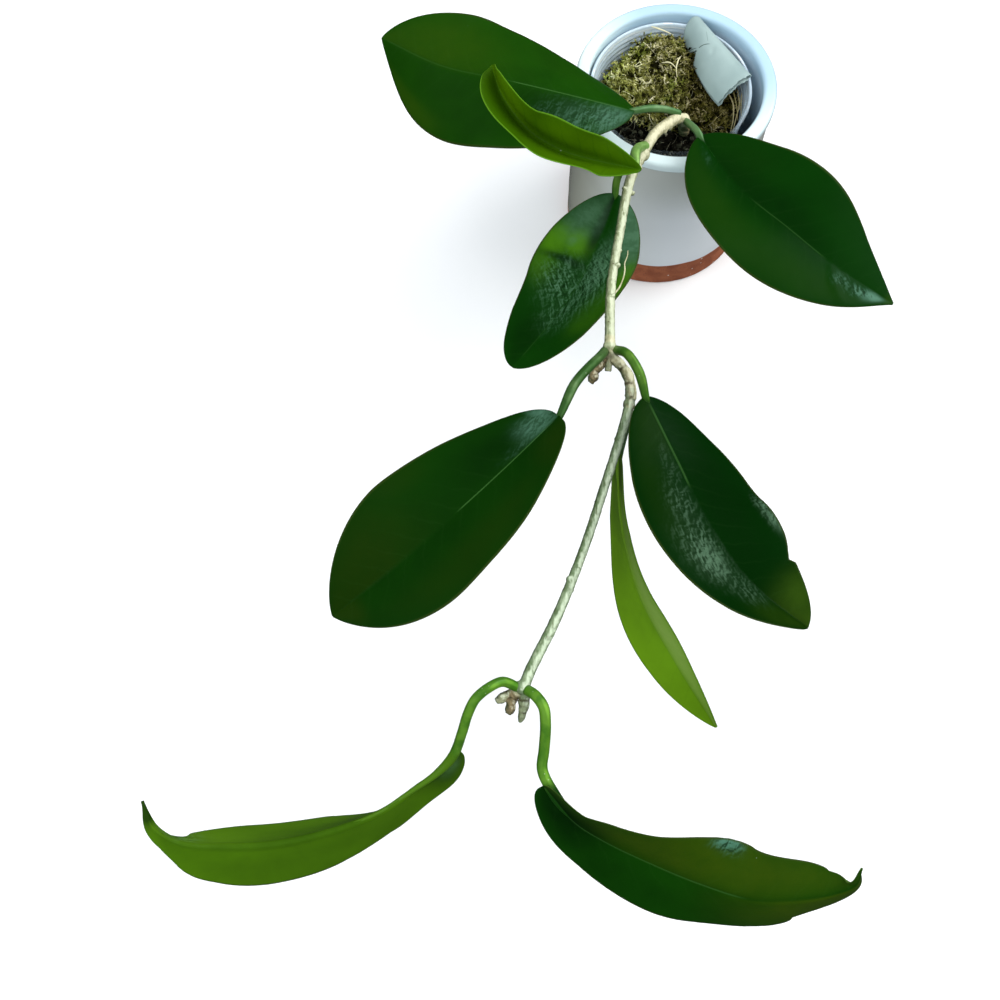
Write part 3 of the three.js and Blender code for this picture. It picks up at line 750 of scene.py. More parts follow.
# %% Shoots along a path
def shoot_tree():
    inputs = {
        "Geometry": ("Geometry", None), "Sides": ("Int", 12), "Unevenness": ("Float", 0.0),
        "Grain": ("Float", 300.0), "Material": ("Material", None),
    }
    tree, build, given, result = node_group("shoot", "GeometryNodeTree", inputs, {"Geometry": "Geometry"})
    curve = build("GeometryNodeMeshToCurve", {"Mesh": given["Geometry"]}).outputs[0]
    girth = build("GeometryNodeInputNamedAttribute", {"Name": "girth"}, data_type="FLOAT").outputs[0]
    curve = build("GeometryNodeSetCurveRadius", {"Curve": curve, "Radius": girth}).outputs[0]
    circle = build("GeometryNodeCurvePrimitiveCircle", {"Resolution": given["Sides"], "Radius": 1.0})
    values = {"Curve": curve, "Profile Curve": circle.outputs[0], "Fill Caps": True}
    sweep = build("GeometryNodeCurveToMesh", values)
    if "Scale" in sweep.inputs:
        build.fill(sweep.inputs["Scale"], girth)
    place = build("GeometryNodeInputPosition").outputs[0]
    cloud = build.noise(place, given["Grain"], 2.0)
    push = build.math("MULTIPLY", build.math("SUBTRACT", cloud, 0.5), given["Unevenness"])
    outward = build("GeometryNodeInputNormal").outputs[0]
    offset = build.vector_math("SCALE", first=outward, Scale=push)
    values = {"Geometry": sweep.outputs[0], "Offset": offset}
    moved = build("GeometryNodeSetPosition", values).outputs[0]
    moved = build("GeometryNodeSetShadeSmooth", {"Geometry": moved}).outputs[0]
    plain = build("GeometryNodeRealizeInstances", {"Geometry": moved}).outputs[0]
    values = {"Geometry": plain, "Material": given["Material"]}
    build.fill(result["Geometry"], build("GeometryNodeSetMaterial", values).outputs[0])
    return tree


SHOOT = shoot_tree()


def shoot(name, points, radii, steps, sides, material, unevenness=0.0, grain=300.0):
    """A round shoot through points, in millimetres, whose radius follows a list."""
    shares = np.linspace(0, 1, steps + 1)
    mesh = bpy.data.meshes.new(name)
    line = path_points(points, shares) * MM
    mesh.from_pydata([tuple(p) for p in line], [(k, k + 1) for k in range(steps)], [])
    carrier = bpy.data.objects.new(name, mesh)
    bpy.context.collection.objects.link(carrier)
    set_attribute(carrier, "girth", along(radii, shares) * MM)
    values = {"Sides": sides, "Unevenness": unevenness * MM, "Grain": grain, "Material": material}
    add_nodes(carrier, SHOOT, **values)
    return plain_copy(carrier, name)


def set_facing(piece, way):
    """Stores how far each point of a shoot faces a direction, from -1 to 1."""
    set_attribute(piece, "facing", outward_of(piece) @ unit(np.array(way)))


def fill_attribute(piece, name, value):
    """The same number, or three, at every point."""
    set_attribute(piece, name, np.tile(value, (len(piece.data.vertices), 1)) if np.ndim(value) else
                  np.full(len(piece.data.vertices), value))


LEAFLET_LENGTH = 1.9
LEAFLET_HALF = 0.42
LEAFLET_HUMP = 0.25


def strand(name, length, curl, thick, seed, start=0.0, leaflets=0):
    """A three-sided strand that rises from its foot and curls over, bare or with leaflets."""
    local = np.random.default_rng(seed)
    count = 6 if leaflets else 9
    shares = np.linspace(0, 1, count)
    bend = start + curl * shares**1.3
    step = length / (count - 1)
    wander = np.cumsum(local.normal(0, 0.35, count))
    x = np.cumsum(np.sin(bend)) * step
    y = np.cumsum(np.sin(wander)) * step * 0.6
    z = np.cumsum(np.cos(bend)) * step
    line = np.stack([x - x[0], y - y[0], z - z[0]], -1)
    turn = np.arange(3) * 2 * math.pi / 3
    girth = thick * (1 - 0.55 * shares)
    around = np.stack([np.cos(turn), np.sin(turn), 0.3 * np.sin(turn)], -1)
    rings = line[:, None, :] + girth[:, None, None] * around
    last = 3 * (count - 1)
    faces = [tuple(f) for f in grid_faces(count, 3, closed=True)] + [(2, 1, 0), (last, last + 1, last + 2)]
    points = [rings.reshape(-1, 3)]
    for k in range(leaflets):
        where = 0.1 + 0.9 * (k + 0.5) / leaflets
        foot = np.array([np.interp(where, shares, line[:, axis]) for axis in range(3)])
        way = unit(unit(line[-1] - line[0]) * 0.7 + unit(local.normal(0, 1, 3)))
        side = unit(np.cross(way, local.normal(0, 1, 3)))
        long = LEAFLET_LENGTH * local.uniform(0.7, 1.2)
        tip, middle = foot + way * long, foot + way * long / 2
        hump = middle + np.cross(way, side) * LEAFLET_HUMP
        start_at = 3 * count + 5 * k
        points.append(np.array([foot, middle - side * LEAFLET_HALF, tip, middle + side * LEAFLET_HALF, hump]))
        faces += [(start_at, start_at + 3, start_at + 2, start_at + 1)]
        faces += [(start_at + a, start_at + (a + 1) % 4, start_at + 4) for a in range(4)]
    return new_mesh(name, np.vstack(points), faces)


def lift_tones(piece, low, spread):
    """Moves the stored tones of scattered bits into a narrow band."""
    layer = piece.data.attributes["tone"].data
    values = np.empty(len(layer), dtype=np.float32)
    layer.foreach_get("value", values)
    layer.foreach_set("value", low + spread * values)


print("shoot tree has", len(SHOOT.nodes), "nodes")

# %% [markdown]
# ## Root ball
# Dark potting mix fills the liner. Only its top shows, in front of the moss, as small dark crumbs
# of peat and bark with a few pale bits of root and grit.

# %% Root ball
MIX_TOP = 95.0
MIX_LOW = 9.5
MIX_GAP = 0.35
MIX_SIDES = 72


def crumb(name, seed, flat):
    """A small lump with an uneven skin."""
    bpy.ops.mesh.primitive_ico_sphere_add(subdivisions=2, radius=1.0)
    lump = bpy.context.object
    lump.name = name
    for vertex in lump.data.vertices:
        swell = 1 + 0.45 * noise.noise(vertex.co * 1.3 + Vector((seed, 0, 0)))
        vertex.co = Vector((vertex.co.x, vertex.co.y * 0.8, vertex.co.z * flat)) * swell * MM
    return lump


def mix_material():
    made, build, shader = new_material("potting_mix", Roughness=0.9, Specular_IOR_Level=0.1)
    tone = build.attribute("tone", "Fac")
    dark = build.mix(effect(build, MOTTLE, Scale=300.0), (0.0015, 0.002, 0.001), (0.011, 0.01, 0.006))
    brown = build.mix(build.ramp(tone, 0.7, 0.95), dark, (0.045, 0.048, 0.03))
    pale = build.math("GREATER_THAN", tone, 0.99)
    build.fill(shader.inputs["Base Color"], build.mix(pale, brown, (0.26, 0.25, 0.17)))
    bump(build, shader, effect(build, RELIEF, Scale=900.0), 0.0005)
    return made


def mix_outline():
    """The inside of the liner, with the flat top in many steps so that it can be roughened."""
    inner = LINER_WALL + MIX_GAP
    top = liner_radius(MIX_TOP) - inner
    foot = (LINER_FLOOR_RADIUS - inner, MIX_LOW)
    steps = [(top * k / 24, MIX_TOP) for k in range(24, -1, -1)]
    return np.array([(0, MIX_LOW), foot, (liner_radius(60) - inner, 60), *steps])


def root_ball():
    soil = mix_material()
    body = lathe("root_ball", mix_outline(), MIX_SIDES, [soil], LINER_PLACE)
    for vertex in body.data.vertices:
        if vertex.co.z > 90 * MM:
            vertex.co.z += 0.0012 * noise.noise(vertex.co * 260) - 0.0006
    top = new_mesh("mix_top", *disc(LINER_PLACE, liner_radius(MIX_TOP) - 3.0, MIX_TOP + 0.1))
    bits = [crumb(f"crumb_{k}", 3.1 * k, 0.55 + 0.15 * k) for k in range(3)]
    crumbs = scatter("mix_crumbs", top, bits, 0.26, 0.5, 1.9, 1.0, 5, soil)
    bits = [strand(f"thread_{k}", 6 + 3 * k, 1.6 + 0.9 * k, 0.16, 20 + k) for k in range(3)]
    roots = scatter("fine_roots", top, bits, 0.035, 0.7, 1.3, 3.0, 8, soil)
    lift_tones(roots, 0.992, 0.006)
    bpy.data.objects.remove(top)
    return joined("root_ball_mix", [body, crumbs, roots])


def disc(centre, radius, height, rings=6, sides=36):
    """Points and faces of a flat disc that looks up."""
    turn = np.arange(sides) * 2 * math.pi / sides
    reach = np.linspace(radius / rings, radius, rings)[:, None]
    flat = np.stack([centre[0] + reach * np.cos(turn), centre[1] + reach * np.sin(turn)], -1)
    flat = np.vstack([flat.reshape(-1, 2), [centre]])
    points = np.column_stack([flat, np.full(len(flat), height)])
    faces = [tuple(f) for f in grid_faces(rings, sides, closed=True, flip=True)]
    return points, faces + [(len(points) - 1, k, (k + 1) % sides) for k in range(sides)]


mix = root_ball()
finish_piece(mix, "potting_mix", "potting_mix")

# %% [markdown]
# ## Moss
# Dry moss covers the back and left of the root ball: a mat of small olive sprigs with fine threads
# and straws among them, and dark gaps between, where the mound under them is painted almost black
# as painted shade. The mound itself follows the same rule as its solid.
# Sprigs are short curled shoots of three sides with eight leaflets each, scattered close together.
# Bare curled threads and straight pale straws are thrown among them, and a few longer straws lie
# where they can be told apart. The mound is closed once everything has been scattered on it.

# %% Moss
MOSS_LOW = MIX_TOP + 0.3
MOSS_FRONT = 14.0
MOSS_REACH = 34.8
MOSS_MIDDLE = (-1.1, 2.2)
MOSS_SPOKES = 110
MOSS_SINK = 0.8


def moss_height(x, y):
    """A dome, highest at the back left, with lumps."""
    dome = np.exp(-((x + 8) ** 2) / 450 - ((y - 22) ** 2) / 900)
    lumps = np.sin(0.42 * x + 1.3) * np.cos(0.37 * y) + 0.6 * np.sin(0.8 * x - 0.7 * y)
    return 4 + 18 * dome + 0.7 * lumps


def moss_mound(material):
    turn = np.arange(MOSS_SPOKES) * 2 * math.pi / MOSS_SPOKES
    forward = np.maximum(-0.2 * np.cos(turn) - 0.98 * np.sin(turn), 0.01)
    wander = 1.2 * np.sin(5 * turn) + 0.8 * np.cos(9 * turn)
    reach = np.minimum(MOSS_REACH + 0.6 * wander, (MOSS_FRONT + wander) / forward)
    shares = np.r_[0.02, np.linspace(0.06, 0.9, 22), 0.95, 0.985, 1.0]
    x = MOSS_MIDDLE[0] + shares[:, None] * reach * np.cos(turn)
    y = MOSS_MIDDLE[1] + shares[:, None] * reach * np.sin(turn)
    shoulder = 0.2 + 0.8 * np.sqrt(np.maximum(1 - shares[:, None] ** 6, 0))
    top = np.stack([x, y, MOSS_LOW + shoulder * moss_height(x, y) - MOSS_SINK], -1)
    foot = np.stack([x[-1], y[-1], np.full(MOSS_SPOKES, MOSS_LOW)], -1)
    points = np.vstack([top.reshape(-1, 3), foot])
    faces = grid_faces(len(shares) + 1, MOSS_SPOKES, closed=True, flip=True)
    mound = new_mesh("moss_mound_body", points, faces, [material])
    for vertex in mound.data.vertices:
        vertex.co.z += 0.0024 * noise.noise(vertex.co * 210) + 0.0009 * noise.noise(vertex.co * 480)
    return mound


MOSS_COLOURS = [
    (0.0, (0.004, 0.004, 0.001)), (0.26, (0.03, 0.028, 0.005)), (0.46, (0.145, 0.143, 0.026)),
    (0.66, (0.34, 0.33, 0.095)), (0.88, (0.54, 0.5, 0.23)), (1.0, (0.84, 0.79, 0.52)),
]
STRAW_TONE = 0.86


def moss_material():
    """Tone by strand and by clump. It is darker and browner on the right, and painted light makes it paler on
    the left.
    """
    made, build, shader = new_material("dry_moss", Roughness=0.9, Specular_IOR_Level=0.08)
    tone = build.attribute("tone", "Fac")
    clump = build.ramp(build.noise(build.place(), 230.0, 2.5, 0.6, 0.4), 0.37, 0.6)
    mingled = build.math("MULTIPLY_ADD", clump, 0.5, build.math("MULTIPLY", tone, 0.5))
    straw = build.ramp(tone, STRAW_TONE, STRAW_TONE + 0.04)
    mingled = build.math("MAXIMUM", mingled, build.math("MULTIPLY", straw, tone))
    ramp = build("ShaderNodeValToRGB", {"Fac": mingled})
    while len(ramp.color_ramp.elements) < len(MOSS_COLOURS):
        ramp.color_ramp.elements.new(0.5)
    for element, (position, colour) in zip(ramp.color_ramp.elements, MOSS_COLOURS):
        element.position = position
        element.color = (*colour, 1.0)
    dry = ramp.outputs[0]
    green = effect(build, MOTTLE, Scale=75.0, Low=0.5, High=0.68)
    green = build.math("MULTIPLY", green, build.math("MULTIPLY_ADD", straw, -0.75, 0.75))
    colour = build.mix(green, dry, build.tinted(dry, (0.66, 0.9, 0.3)))
    across = build.split(build.place())[0]
    brown = build.math("MULTIPLY", build.ramp(across, 1 * MM, 11 * MM), 0.85)
    colour = build.mix(brown, colour, build.tinted(colour, (0.3, 0.26, 0.17)))
    # Painted light: the left of the moss is made paler.
    painted_light = build.ramp(across, -30 * MM, -8 * MM, 1.0, 0.0)
    colour = build.mix(painted_light, colour, build.tinted(colour, (1.9, 2.0, 1.9)))
    build.fill(shader.inputs["Base Color"], colour)
    return made


# length, curl and thickness of each bit
MOSS_SPRIGS = [(4.5, 1.6, 0.42), (6.0, 2.6, 0.36), (3.5, 1.0, 0.5), (7.0, 3.4, 0.34), (5.0, 2.0, 0.45)]
MOSS_THREADS = [(7.0, 4.2, 0.3), (5.0, 3.0, 0.34), (8.5, 5.6, 0.24)]
# path, radius and tone of each straw
LOOSE_STRAWS = [
    ([(-10, 40, 112.5), (-7.5, 37.5, 114), (-3.5, 35, 114.5), (0.5, 33.5, 113.5)], 0.42, 0.98),
    ([(-18.5, 29.5, 109), (-14.5, 29.5, 111), (-11, 31, 110.5)], 0.32, 0.95),
    ([(-7, 11.5, 117.5), (-3, 10.2, 119), (0.6, 8.6, 116.5)], 0.38, 0.96),
    ([(3, 15, 117.5), (1.6, 12, 118.5), (0.6, 8.6, 116.5), (1, 5, 114)], 0.38, 0.96),
    ([(-23, 9, 106), (-21, 3.5, 107), (-19.4, -2.5, 104)], 0.42, 0.93),
    ([(29, 3, 104), (31.5, -5, 103.5), (31.5, -12, 101), (30, -18.5, 98)], 0.4, 0.98),
    ([(34.5, 3, 104.5), (35, -5, 103), (33, -12, 100.5), (31, -19, 98)], 0.32, 1.0),
    ([(36.5, 1, 104.5), (35.8, -6, 103), (36, -11, 100)], 0.28, 1.0),
    ([(32, 3, 105), (33.4, -6, 103), (34, -13, 100)], 0.3, 0.9),
]


def moss():
    felt = moss_material()
    mound = moss_mound(felt)
    # The mound under the bits is painted almost black, as painted shade in the gaps between them.
    fill_attribute(mound, "tone", 0.06)
    bits = [strand(f"sprig_{k}", *spec, 40 + k, leaflets=8) for k, spec in enumerate(MOSS_SPRIGS)]
    mat = scatter("moss_sprigs", mound, bits, 0.34, 0.7, 1.25, 2.6, 3, felt)
    bits = [strand(f"thread_{k}", *spec, 50 + k) for k, spec in enumerate(MOSS_THREADS)]
    fine = scatter("moss_threads", mound, bits, 0.09, 0.7, 1.2, 2.6, 6, felt)
    bits = [strand(f"straw_{k}", 9 + 2 * k, 0.7 + 0.4 * k, 0.3, 70 + k, start=1.0) for k in range(3)]
    laid = scatter("moss_straws", mound, bits, 0.011, 0.6, 1.1, 0.4, 9, felt)
    lift_tones(laid, 0.87, 0.12)
    close_holes(mound)
    loose = []
    for path, radius, tone in LOOSE_STRAWS:
        radii = [0.6 * radius, radius, 0.8 * radius, 0.4 * radius]
        straw = shoot("loose_straw", path, radii, 24, 6, felt, unevenness=0.2, grain=700.0)
        fill_attribute(straw, "tone", tone)
        loose.append(straw)
    return joined("moss_of_strands", [mound, mat, fine, laid, *loose])


moss_piece = moss()
finish_piece(moss_piece, "moss", "moss_mound")

# %% [markdown]
# ## Plant label
# A strip of greenish plastic was bent back on itself like a hairpin and pushed in at the liner's
# rim. Its outline in section is a spline, swept about 45 mm along the strip and narrowed towards
# its upper end. A torn notch opens in its left edge, and thin cracks run on from it. The strip is
# bare. It starts as one sheet, gets its wall from Solidify, and carries a map of its own in
# millimetres across and down, so the cracks stay in place.

# %% Plant label
LABEL_LENGTH = 44.8
LABEL_THICK = 0.6
LABEL_HEADING = -57.5
LABEL_PLACE = np.array([16.5, 41, 116])
LABEL_SECTION = [
    (-17.5, -8.2), (-14, -3.6), (-9.5, 0), (-5, 1.6), (-1.6, 1), (-0.4, -0.9), (-1.8, -2.6),
    (-5, -2), (-9.5, -3.8), (-13.5, -7), (-16.5, -11.2),
]
LABEL_BULGE = 3.0
WIDEST, NARROWING, FULL_FROM, NARROW_POWER = 1.22, 0.6, 40.0, 1.6
TORN = [(-15, 7.9), (-12.5, 13.2), (-19.4, 19.6)]
# where each crack starts across and down, its slope, bend, reach and width
TEAR_LINES = [
    (-15.1, 7.9, 0.95, 0.12, 3.6, 0.35),
    (-11.2, 13.5, 0.2, 0.12, 4.6, 0.35),
    (-6.7, 14.4, -1.9, 0.0, 3.0, 0.5),
]
UPPER_LEG = 0.45
LEG_SHIFT = 0.1


def label_material():
    made, build, shader = new_material("label_plastic", Specular_IOR_Level=0.5)
    cloud = effect(build, MOTTLE, Scale=60.0, Detail=2.0)
    colour = build.mix(cloud, (0.285, 0.385, 0.375), (0.34, 0.45, 0.435))
    scuffs = effect(build, SPECKS, Scale=420.0, Share=0.05, Size=0.2)
    build.fill(shader.inputs["Roughness"], build.math("MULTIPLY_ADD", cloud, 0.12, 0.36))
    spread = build.split(build.place("UV"))
    first, second, faint = (tear_line(build, spread, *line) for line in TEAR_LINES)
    faint = build.math("MULTIPLY", faint, 0.35)
    tear = build.math("MAXIMUM", build.math("MAXIMUM", first, second), faint)
    paint = build.mix(scuffs, colour, (0.42, 0.48, 0.44))
    build.fill(shader.inputs["Base Color"], build.mix(tear, paint, (0.05, 0.08, 0.07)))
    bump(build, shader, effect(build, RELIEF, Scale=120.0, Detail=2.0), 0.0003, 0.4)
    return made


def tear_line(build, spread, across, down, slope, bend, reach, width):
    """A thin curved crack. It starts at a place and runs across for its reach, in millimetres."""
    off = build.math("SUBTRACT", spread[0], across * MM)
    course = build.math("MULTIPLY_ADD", off, slope, down * MM)
    bow = build.math("MULTIPLY", build.math("MULTIPLY", off, off), bend / MM)
    gap = build.math("ABSOLUTE", build.math("SUBTRACT", spread[1], build.math("ADD", course, bow)))
    line = build.ramp(gap, 0.4 * width * MM, width * MM, 1.0, 0.0)
    begun = build.math("GREATER_THAN", off, 0.0)
    ended = build.ramp(off, 0.8 * reach * MM, reach * MM, 1.0, 0.0)
    return build.math("MULTIPLY", line, build.math("MULTIPLY", begun, ended))


def narrowed(across, down):
    """The strip is narrower towards its upper end."""
    short = np.maximum(1 - np.maximum(down, 0) / FULL_FROM, 0)
    return across * (WIDEST - NARROWING * short**NARROW_POWER)


def inside_tear(across, down):
    """True where a place lies in the torn gap of the left edge."""
    (_, top), (deepest, middle), (_, low) = TORN
    rim = np.interp(down, [top, middle, low], [TORN[0][0], deepest, TORN[2][0]])
    return (down > top) & (down < low) & (across < rim)


def label():
    shares = np.linspace(0, 1, 72)
    section = path_points(LABEL_SECTION, shares)
    lengths = np.linspace(0, LABEL_LENGTH, 70)
    across, down = np.broadcast_arrays(section[None, :, 0], lengths[:, None])
    across = narrowed(across, down)
    middle = LABEL_SECTION[0][0] * (WIDEST - NARROWING) / 2
    push = -LABEL_BULGE * np.maximum(1 - ((across - middle) / middle) ** 2, 0) * np.exp(-down / 5)
    ragged = 0.28 * np.sin(across * 0.9) + 0.2 * np.sin(across * 2.3 + 1) - 0.3
    push = push + ragged * np.exp(-(LABEL_LENGTH - down) / 1.2)
    crease = 0.5 * np.exp(-(((across + 8) / 2.2) ** 2) - ((down - 17.5 + 0.4 * across) / 1.6) ** 2)
    up = section[None, :, 1] - np.where(shares < UPPER_LEG, crease, 0)
    local = np.stack([across, up, down + push], -1)
    laid = np.stack([local[..., 0], -local[..., 2], local[..., 1]], -1)
    turn = math.radians(LABEL_HEADING + 90)
    x = laid[..., 0] * math.cos(turn) - laid[..., 1] * math.sin(turn)
    y = laid[..., 0] * math.sin(turn) + laid[..., 1] * math.cos(turn)
    points = np.stack([x, y, laid[..., 2]], -1) + LABEL_PLACE
    faces = grid_faces(len(lengths), len(shares))
    centre = (local[:-1, :-1] + local[1:, 1:]) / 2
    torn = inside_tear(centre[..., 0], centre[..., 2]).ravel()
    strip = new_mesh("label_sheet", points.reshape(-1, 3), faces[~torn], [label_material()])
    beside = np.broadcast_to(np.where(shares < UPPER_LEG, 0.0, LEG_SHIFT), across.shape)
    spread = np.stack([local[..., 0] * MM + beside, local[..., 2] * MM], -1).reshape(-1, 2)
    set_uv(strip, "strip_map", spread)
    solid = strip.modifiers.new("thickness", "SOLIDIFY")
    solid.thickness = LABEL_THICK * MM
    solid.offset = 0
    return plain_copy(strip, "plant_label_strip")


label_piece = label()
finish_piece(label_piece, "label_plastic", "plant_label")

# %% [markdown]
# ## Vine
# The vine is one grown piece: a pale woody stretch from the pot, a knobby ringed bend, and a
# slimmer, greener stretch to its end, with stubby ringed flower spurs at the joints. The shoots
# are swept separately, melted into one skin with a voxel remesh, and given bark by pushing the
# points in and out with noise. Thin roots would vanish in the remesh, so they are added after it.

# %% Vine
WOODY = [
    (8, -10, 60), (7, -13, 76), (6, -15, 90), (4.5, -18.5, 102), (2.8, -22.3, 113), (-1.4, -25.6, 119),
    (-7, -31.8, 123.4), (-15, -42, 129), (-23, -58.8, 135.6), (-30.8, -77, 140), (-38, -109, 143),
    (-44, -141, 144), (-46, -170, 144),
]
WOODY_RADII = [2.5, 2.7, 2.9, 2.8, 2.6, 2.35, 2.2, 2.25, 2.5]
BEND = [
    (-46, -167, 144), (-45, -174, 142), (-41, -178, 140), (-38, -183, 139), (-37, -189, 137),
    (-38, -197, 136),
]
SLIM = [
    (-37, -193, 136.5), (-41.5, -208, 136), (-51, -235, 135), (-61.3, -263, 132), (-74.8, -294, 129),
    (-86, -315, 127), (-90, -324, 126),
]
SLIM_RADII = [2.3, 2.2, 2.1, 2.15, 2.4, 2.5]
ROOT = [
    (-43, -143, 143), (-40, -139.5, 144), (-38, -135, 144), (-36.8, -130, 143.5), (-36.6, -126, 143),
    (-35, -121.5, 142.5), (-34.6, -118.5, 142),
]
THREAD = [(-38, -181, 139.5), (-35.6, -186, 139.5), (-35, -191, 139), (-35.6, -194.5, 138.5)]
BEND_RINGS = [2.3, 2.6, 2.2, 2.6, 2.2, 2.7, 2.2, 2.6, 2.2, 2.4]
# path, radii and how brown each spur is
SPURS = [
    ([(-46, -171, 142), (-51, -177, 139), (-55, -184, 135)], [1.7, 2.4, 2, 2.5, 2, 2.4, 1.4], 0.9),
    ([(-46, -171, 143), (-46.5, -176, 140.5), (-47, -180, 138.5)], [2, 1.8, 1.4], 0.1),
    ([(-91, -322, 125), (-96.5, -325.5, 123.5), (-101.5, -328, 122.5)], [1.7, 2.1, 1.7, 2.2, 1.4], 0.3),
    ([(-91, -322, 126), (-94.5, -327.5, 122), (-96, -332.5, 118.5)], [1.9, 2.3, 1.9, 2.2, 1.6], 0.9),
    (
        [(-89, -323, 125), (-89.5, -330, 122), (-91.5, -336.5, 118)],
        [2.3, 2.6, 2.2, 2.4, 1.7, 1.6, 0.7], 0.15,
    ),
]
KNOBS = [
    ((2, -23.5, 115), 3.6), ((4.2, -26, 116.8), 1.6), ((-23.2, -59.5, 135.7), 3.5),
    ((-46, -170, 143.5), 3.2), ((-38, -196, 136), 2.9), ((-90, -323, 126), 3.3),
    ((-30.4, -86, 141), 1.1), ((-34.5, -84, 143), 0.9),
]
COLLAR = np.array([-90, -323, 126])
VOXEL = 0.34
LIGHT_FROM = (0.5, 0.0, 0.86)


def bark_material():
    """Pale wood to cool green, browner spurs, dark grooves, and painted shade and a painted highlight on the
    two sides.
    """
    made, build, shader = new_material("vine_bark", Specular_IOR_Level=0.3)
    kind = build.split(build.attribute("bark"))
    cloud = effect(build, MOTTLE, Scale=190.0, Detail=4.0)
    pale = build.mix(cloud, (0.34, 0.32, 0.17), (0.57, 0.54, 0.33))
    cool = build.mix(cloud, (0.1, 0.17, 0.07), (0.22, 0.31, 0.17))
    colour = build.mix(kind[0], pale, cool)
    brown = build.mix(cloud, (0.05, 0.035, 0.012), (0.26, 0.19, 0.09))
    colour = build.mix(kind[1], colour, brown)
    streak = build("ShaderNodeMapping", {"Vector": build.place(), "Scale": (1300, 260, 1300)}).outputs[0]
    streaks = build.ramp(build.noise(streak, 1.0, 4.0, 0.65), 0.5, 0.7)
    colour = build.mix(build.math("MULTIPLY", streaks, 0.5), colour, (0.13, 0.14, 0.06))
    pale_streaks = build.ramp(build.noise(streak, 0.8, 2.0), 0.56, 0.7)
    colour = build.mix(build.math("MULTIPLY", pale_streaks, 0.3), colour, (0.54, 0.57, 0.42))
    specks = effect(build, SPECKS, Scale=520.0, Share=0.07, Size=0.3)
    colour = build.mix(build.math("MULTIPLY", specks, 0.8), colour, (0.09, 0.07, 0.035))
    # Painted shade on the side away from the light.
    facing = build.attribute("facing", "Fac")
    facing = build.math("SUBTRACT", facing, 0.3)
    ragged = build.math("MULTIPLY_ADD", build.noise(streak, 0.7, 2.0), 0.6, facing)
    colour = build.mix(build.ramp(ragged, -0.25, 0.62, 0.9, 0.0), colour, (0.04, 0.06, 0.02))
    # A painted highlight on the side towards the light.
    bright = build.mix(kind[0], (0.84, 0.8, 0.56), (0.76, 0.88, 0.66))
    colour = build.mix(build.ramp(ragged, 0.7, 1.0, 0.0, 0.65), colour, bright)
    # The dark grooves between rings: their own darker scars, with painted shade in them.
    crack = build.math("MULTIPLY", kind[2], 0.85)
    build.fill(shader.inputs["Base Color"], build.mix(crack, colour, (0.045, 0.03, 0.012)))
    build.fill(shader.inputs["Roughness"], build.math("MULTIPLY_ADD", kind[0], -0.2, 0.66))
    bump(build, shader, effect(build, RELIEF, Scale=700.0, Detail=4.0, Warp=0.6), 0.0005, 0.8)
    return made


def knob(place, radius):
    bpy.ops.mesh.primitive_uv_sphere_add(segments=20, ring_count=12, radius=radius * MM)
    ball = bpy.context.object
    ball.data.transform(Matrix.Translation(Vector(place) * MM))
    return ball


def nearest(points, path, count=40):
    """For each point: how far the path is, in millimetres, and at which share of its length."""
    line = path_points(path, np.linspace(0, 1, count))
    gaps = np.linalg.norm(points[:, None, :] - line[None], axis=2)
    return gaps.min(axis=1), gaps.argmin(axis=1) / (count - 1)


def soft_step(value, low, high):
    share = np.clip((value - low) / (high - low), 0, 1)
    return share * share * (3 - 2 * share)


def rings(share, count):
    """1 in the thin grooves between the rings of a knobby stretch, 0 on the rings."""
    groove = np.maximum(np.cos(math.pi * count * share), 0) ** 5
    finer = 0.45 * np.maximum(np.cos(2 * math.pi * count * share + 0.8), 0) ** 8
    inner = soft_step(share, 0.1, 0.2) * soft_step(-share, -0.95, -0.85)
    return np.maximum(groove, finer) * inner


def bark_kinds(points):
    """Green of the young stretch, brown of a spur, brown of the foot and dark of a groove between two rings;
    the last two are partly painted shade.
    """
    green = 0.6 + 0.35 * soft_step(-points[:, 1], 186, 204)
    green = green * soft_step(-points[:, 1], 35, 100)
    brown, groove = np.zeros(len(points)), np.zeros(len(points))
    for path, radii, tint in SPURS:
        gap, share = nearest(points, path)
        close = soft_step(-gap, -3.6, -2.7) * soft_step(share, 0.08, 0.3)
        brown = np.maximum(brown, close * tint)
        groove = np.maximum(groove, close * rings(share, len(radii) - 1))
    gap, share = nearest(points, BEND, 80)
    ringed = soft_step(-gap, -3.4, -2.6)
    uneven = np.array([noise.noise(Vector(point) * 0.55) for point in points])
    groove = np.maximum(groove, ringed * rings(share, len(BEND_RINGS) - 1))
    groove = groove * np.clip(0.7 + 1.4 * uneven, 0, 1)
    brown = np.maximum(brown, ringed * soft_step(share, 0.02, 0.1) * np.clip(1.6 * uneven, 0, 0.5))
    green = green * (1 - 0.8 * ringed * soft_step(-share, -0.8, -0.6))
    collar = 1 - soft_step(np.linalg.norm(points - COLLAR, axis=1), 3.4, 5.0)
    # The foot near the soil is painted browner: partly old bark, partly painted shade inside the pot.
    low = soft_step(-points[:, 2], -118, -108) * soft_step(points[:, 1], -30, -25)
    brown = np.maximum(brown, 0.75 * low)
    return np.stack([green * (1 - brown), brown * (1 - collar), groove * (1 - collar)], -1)


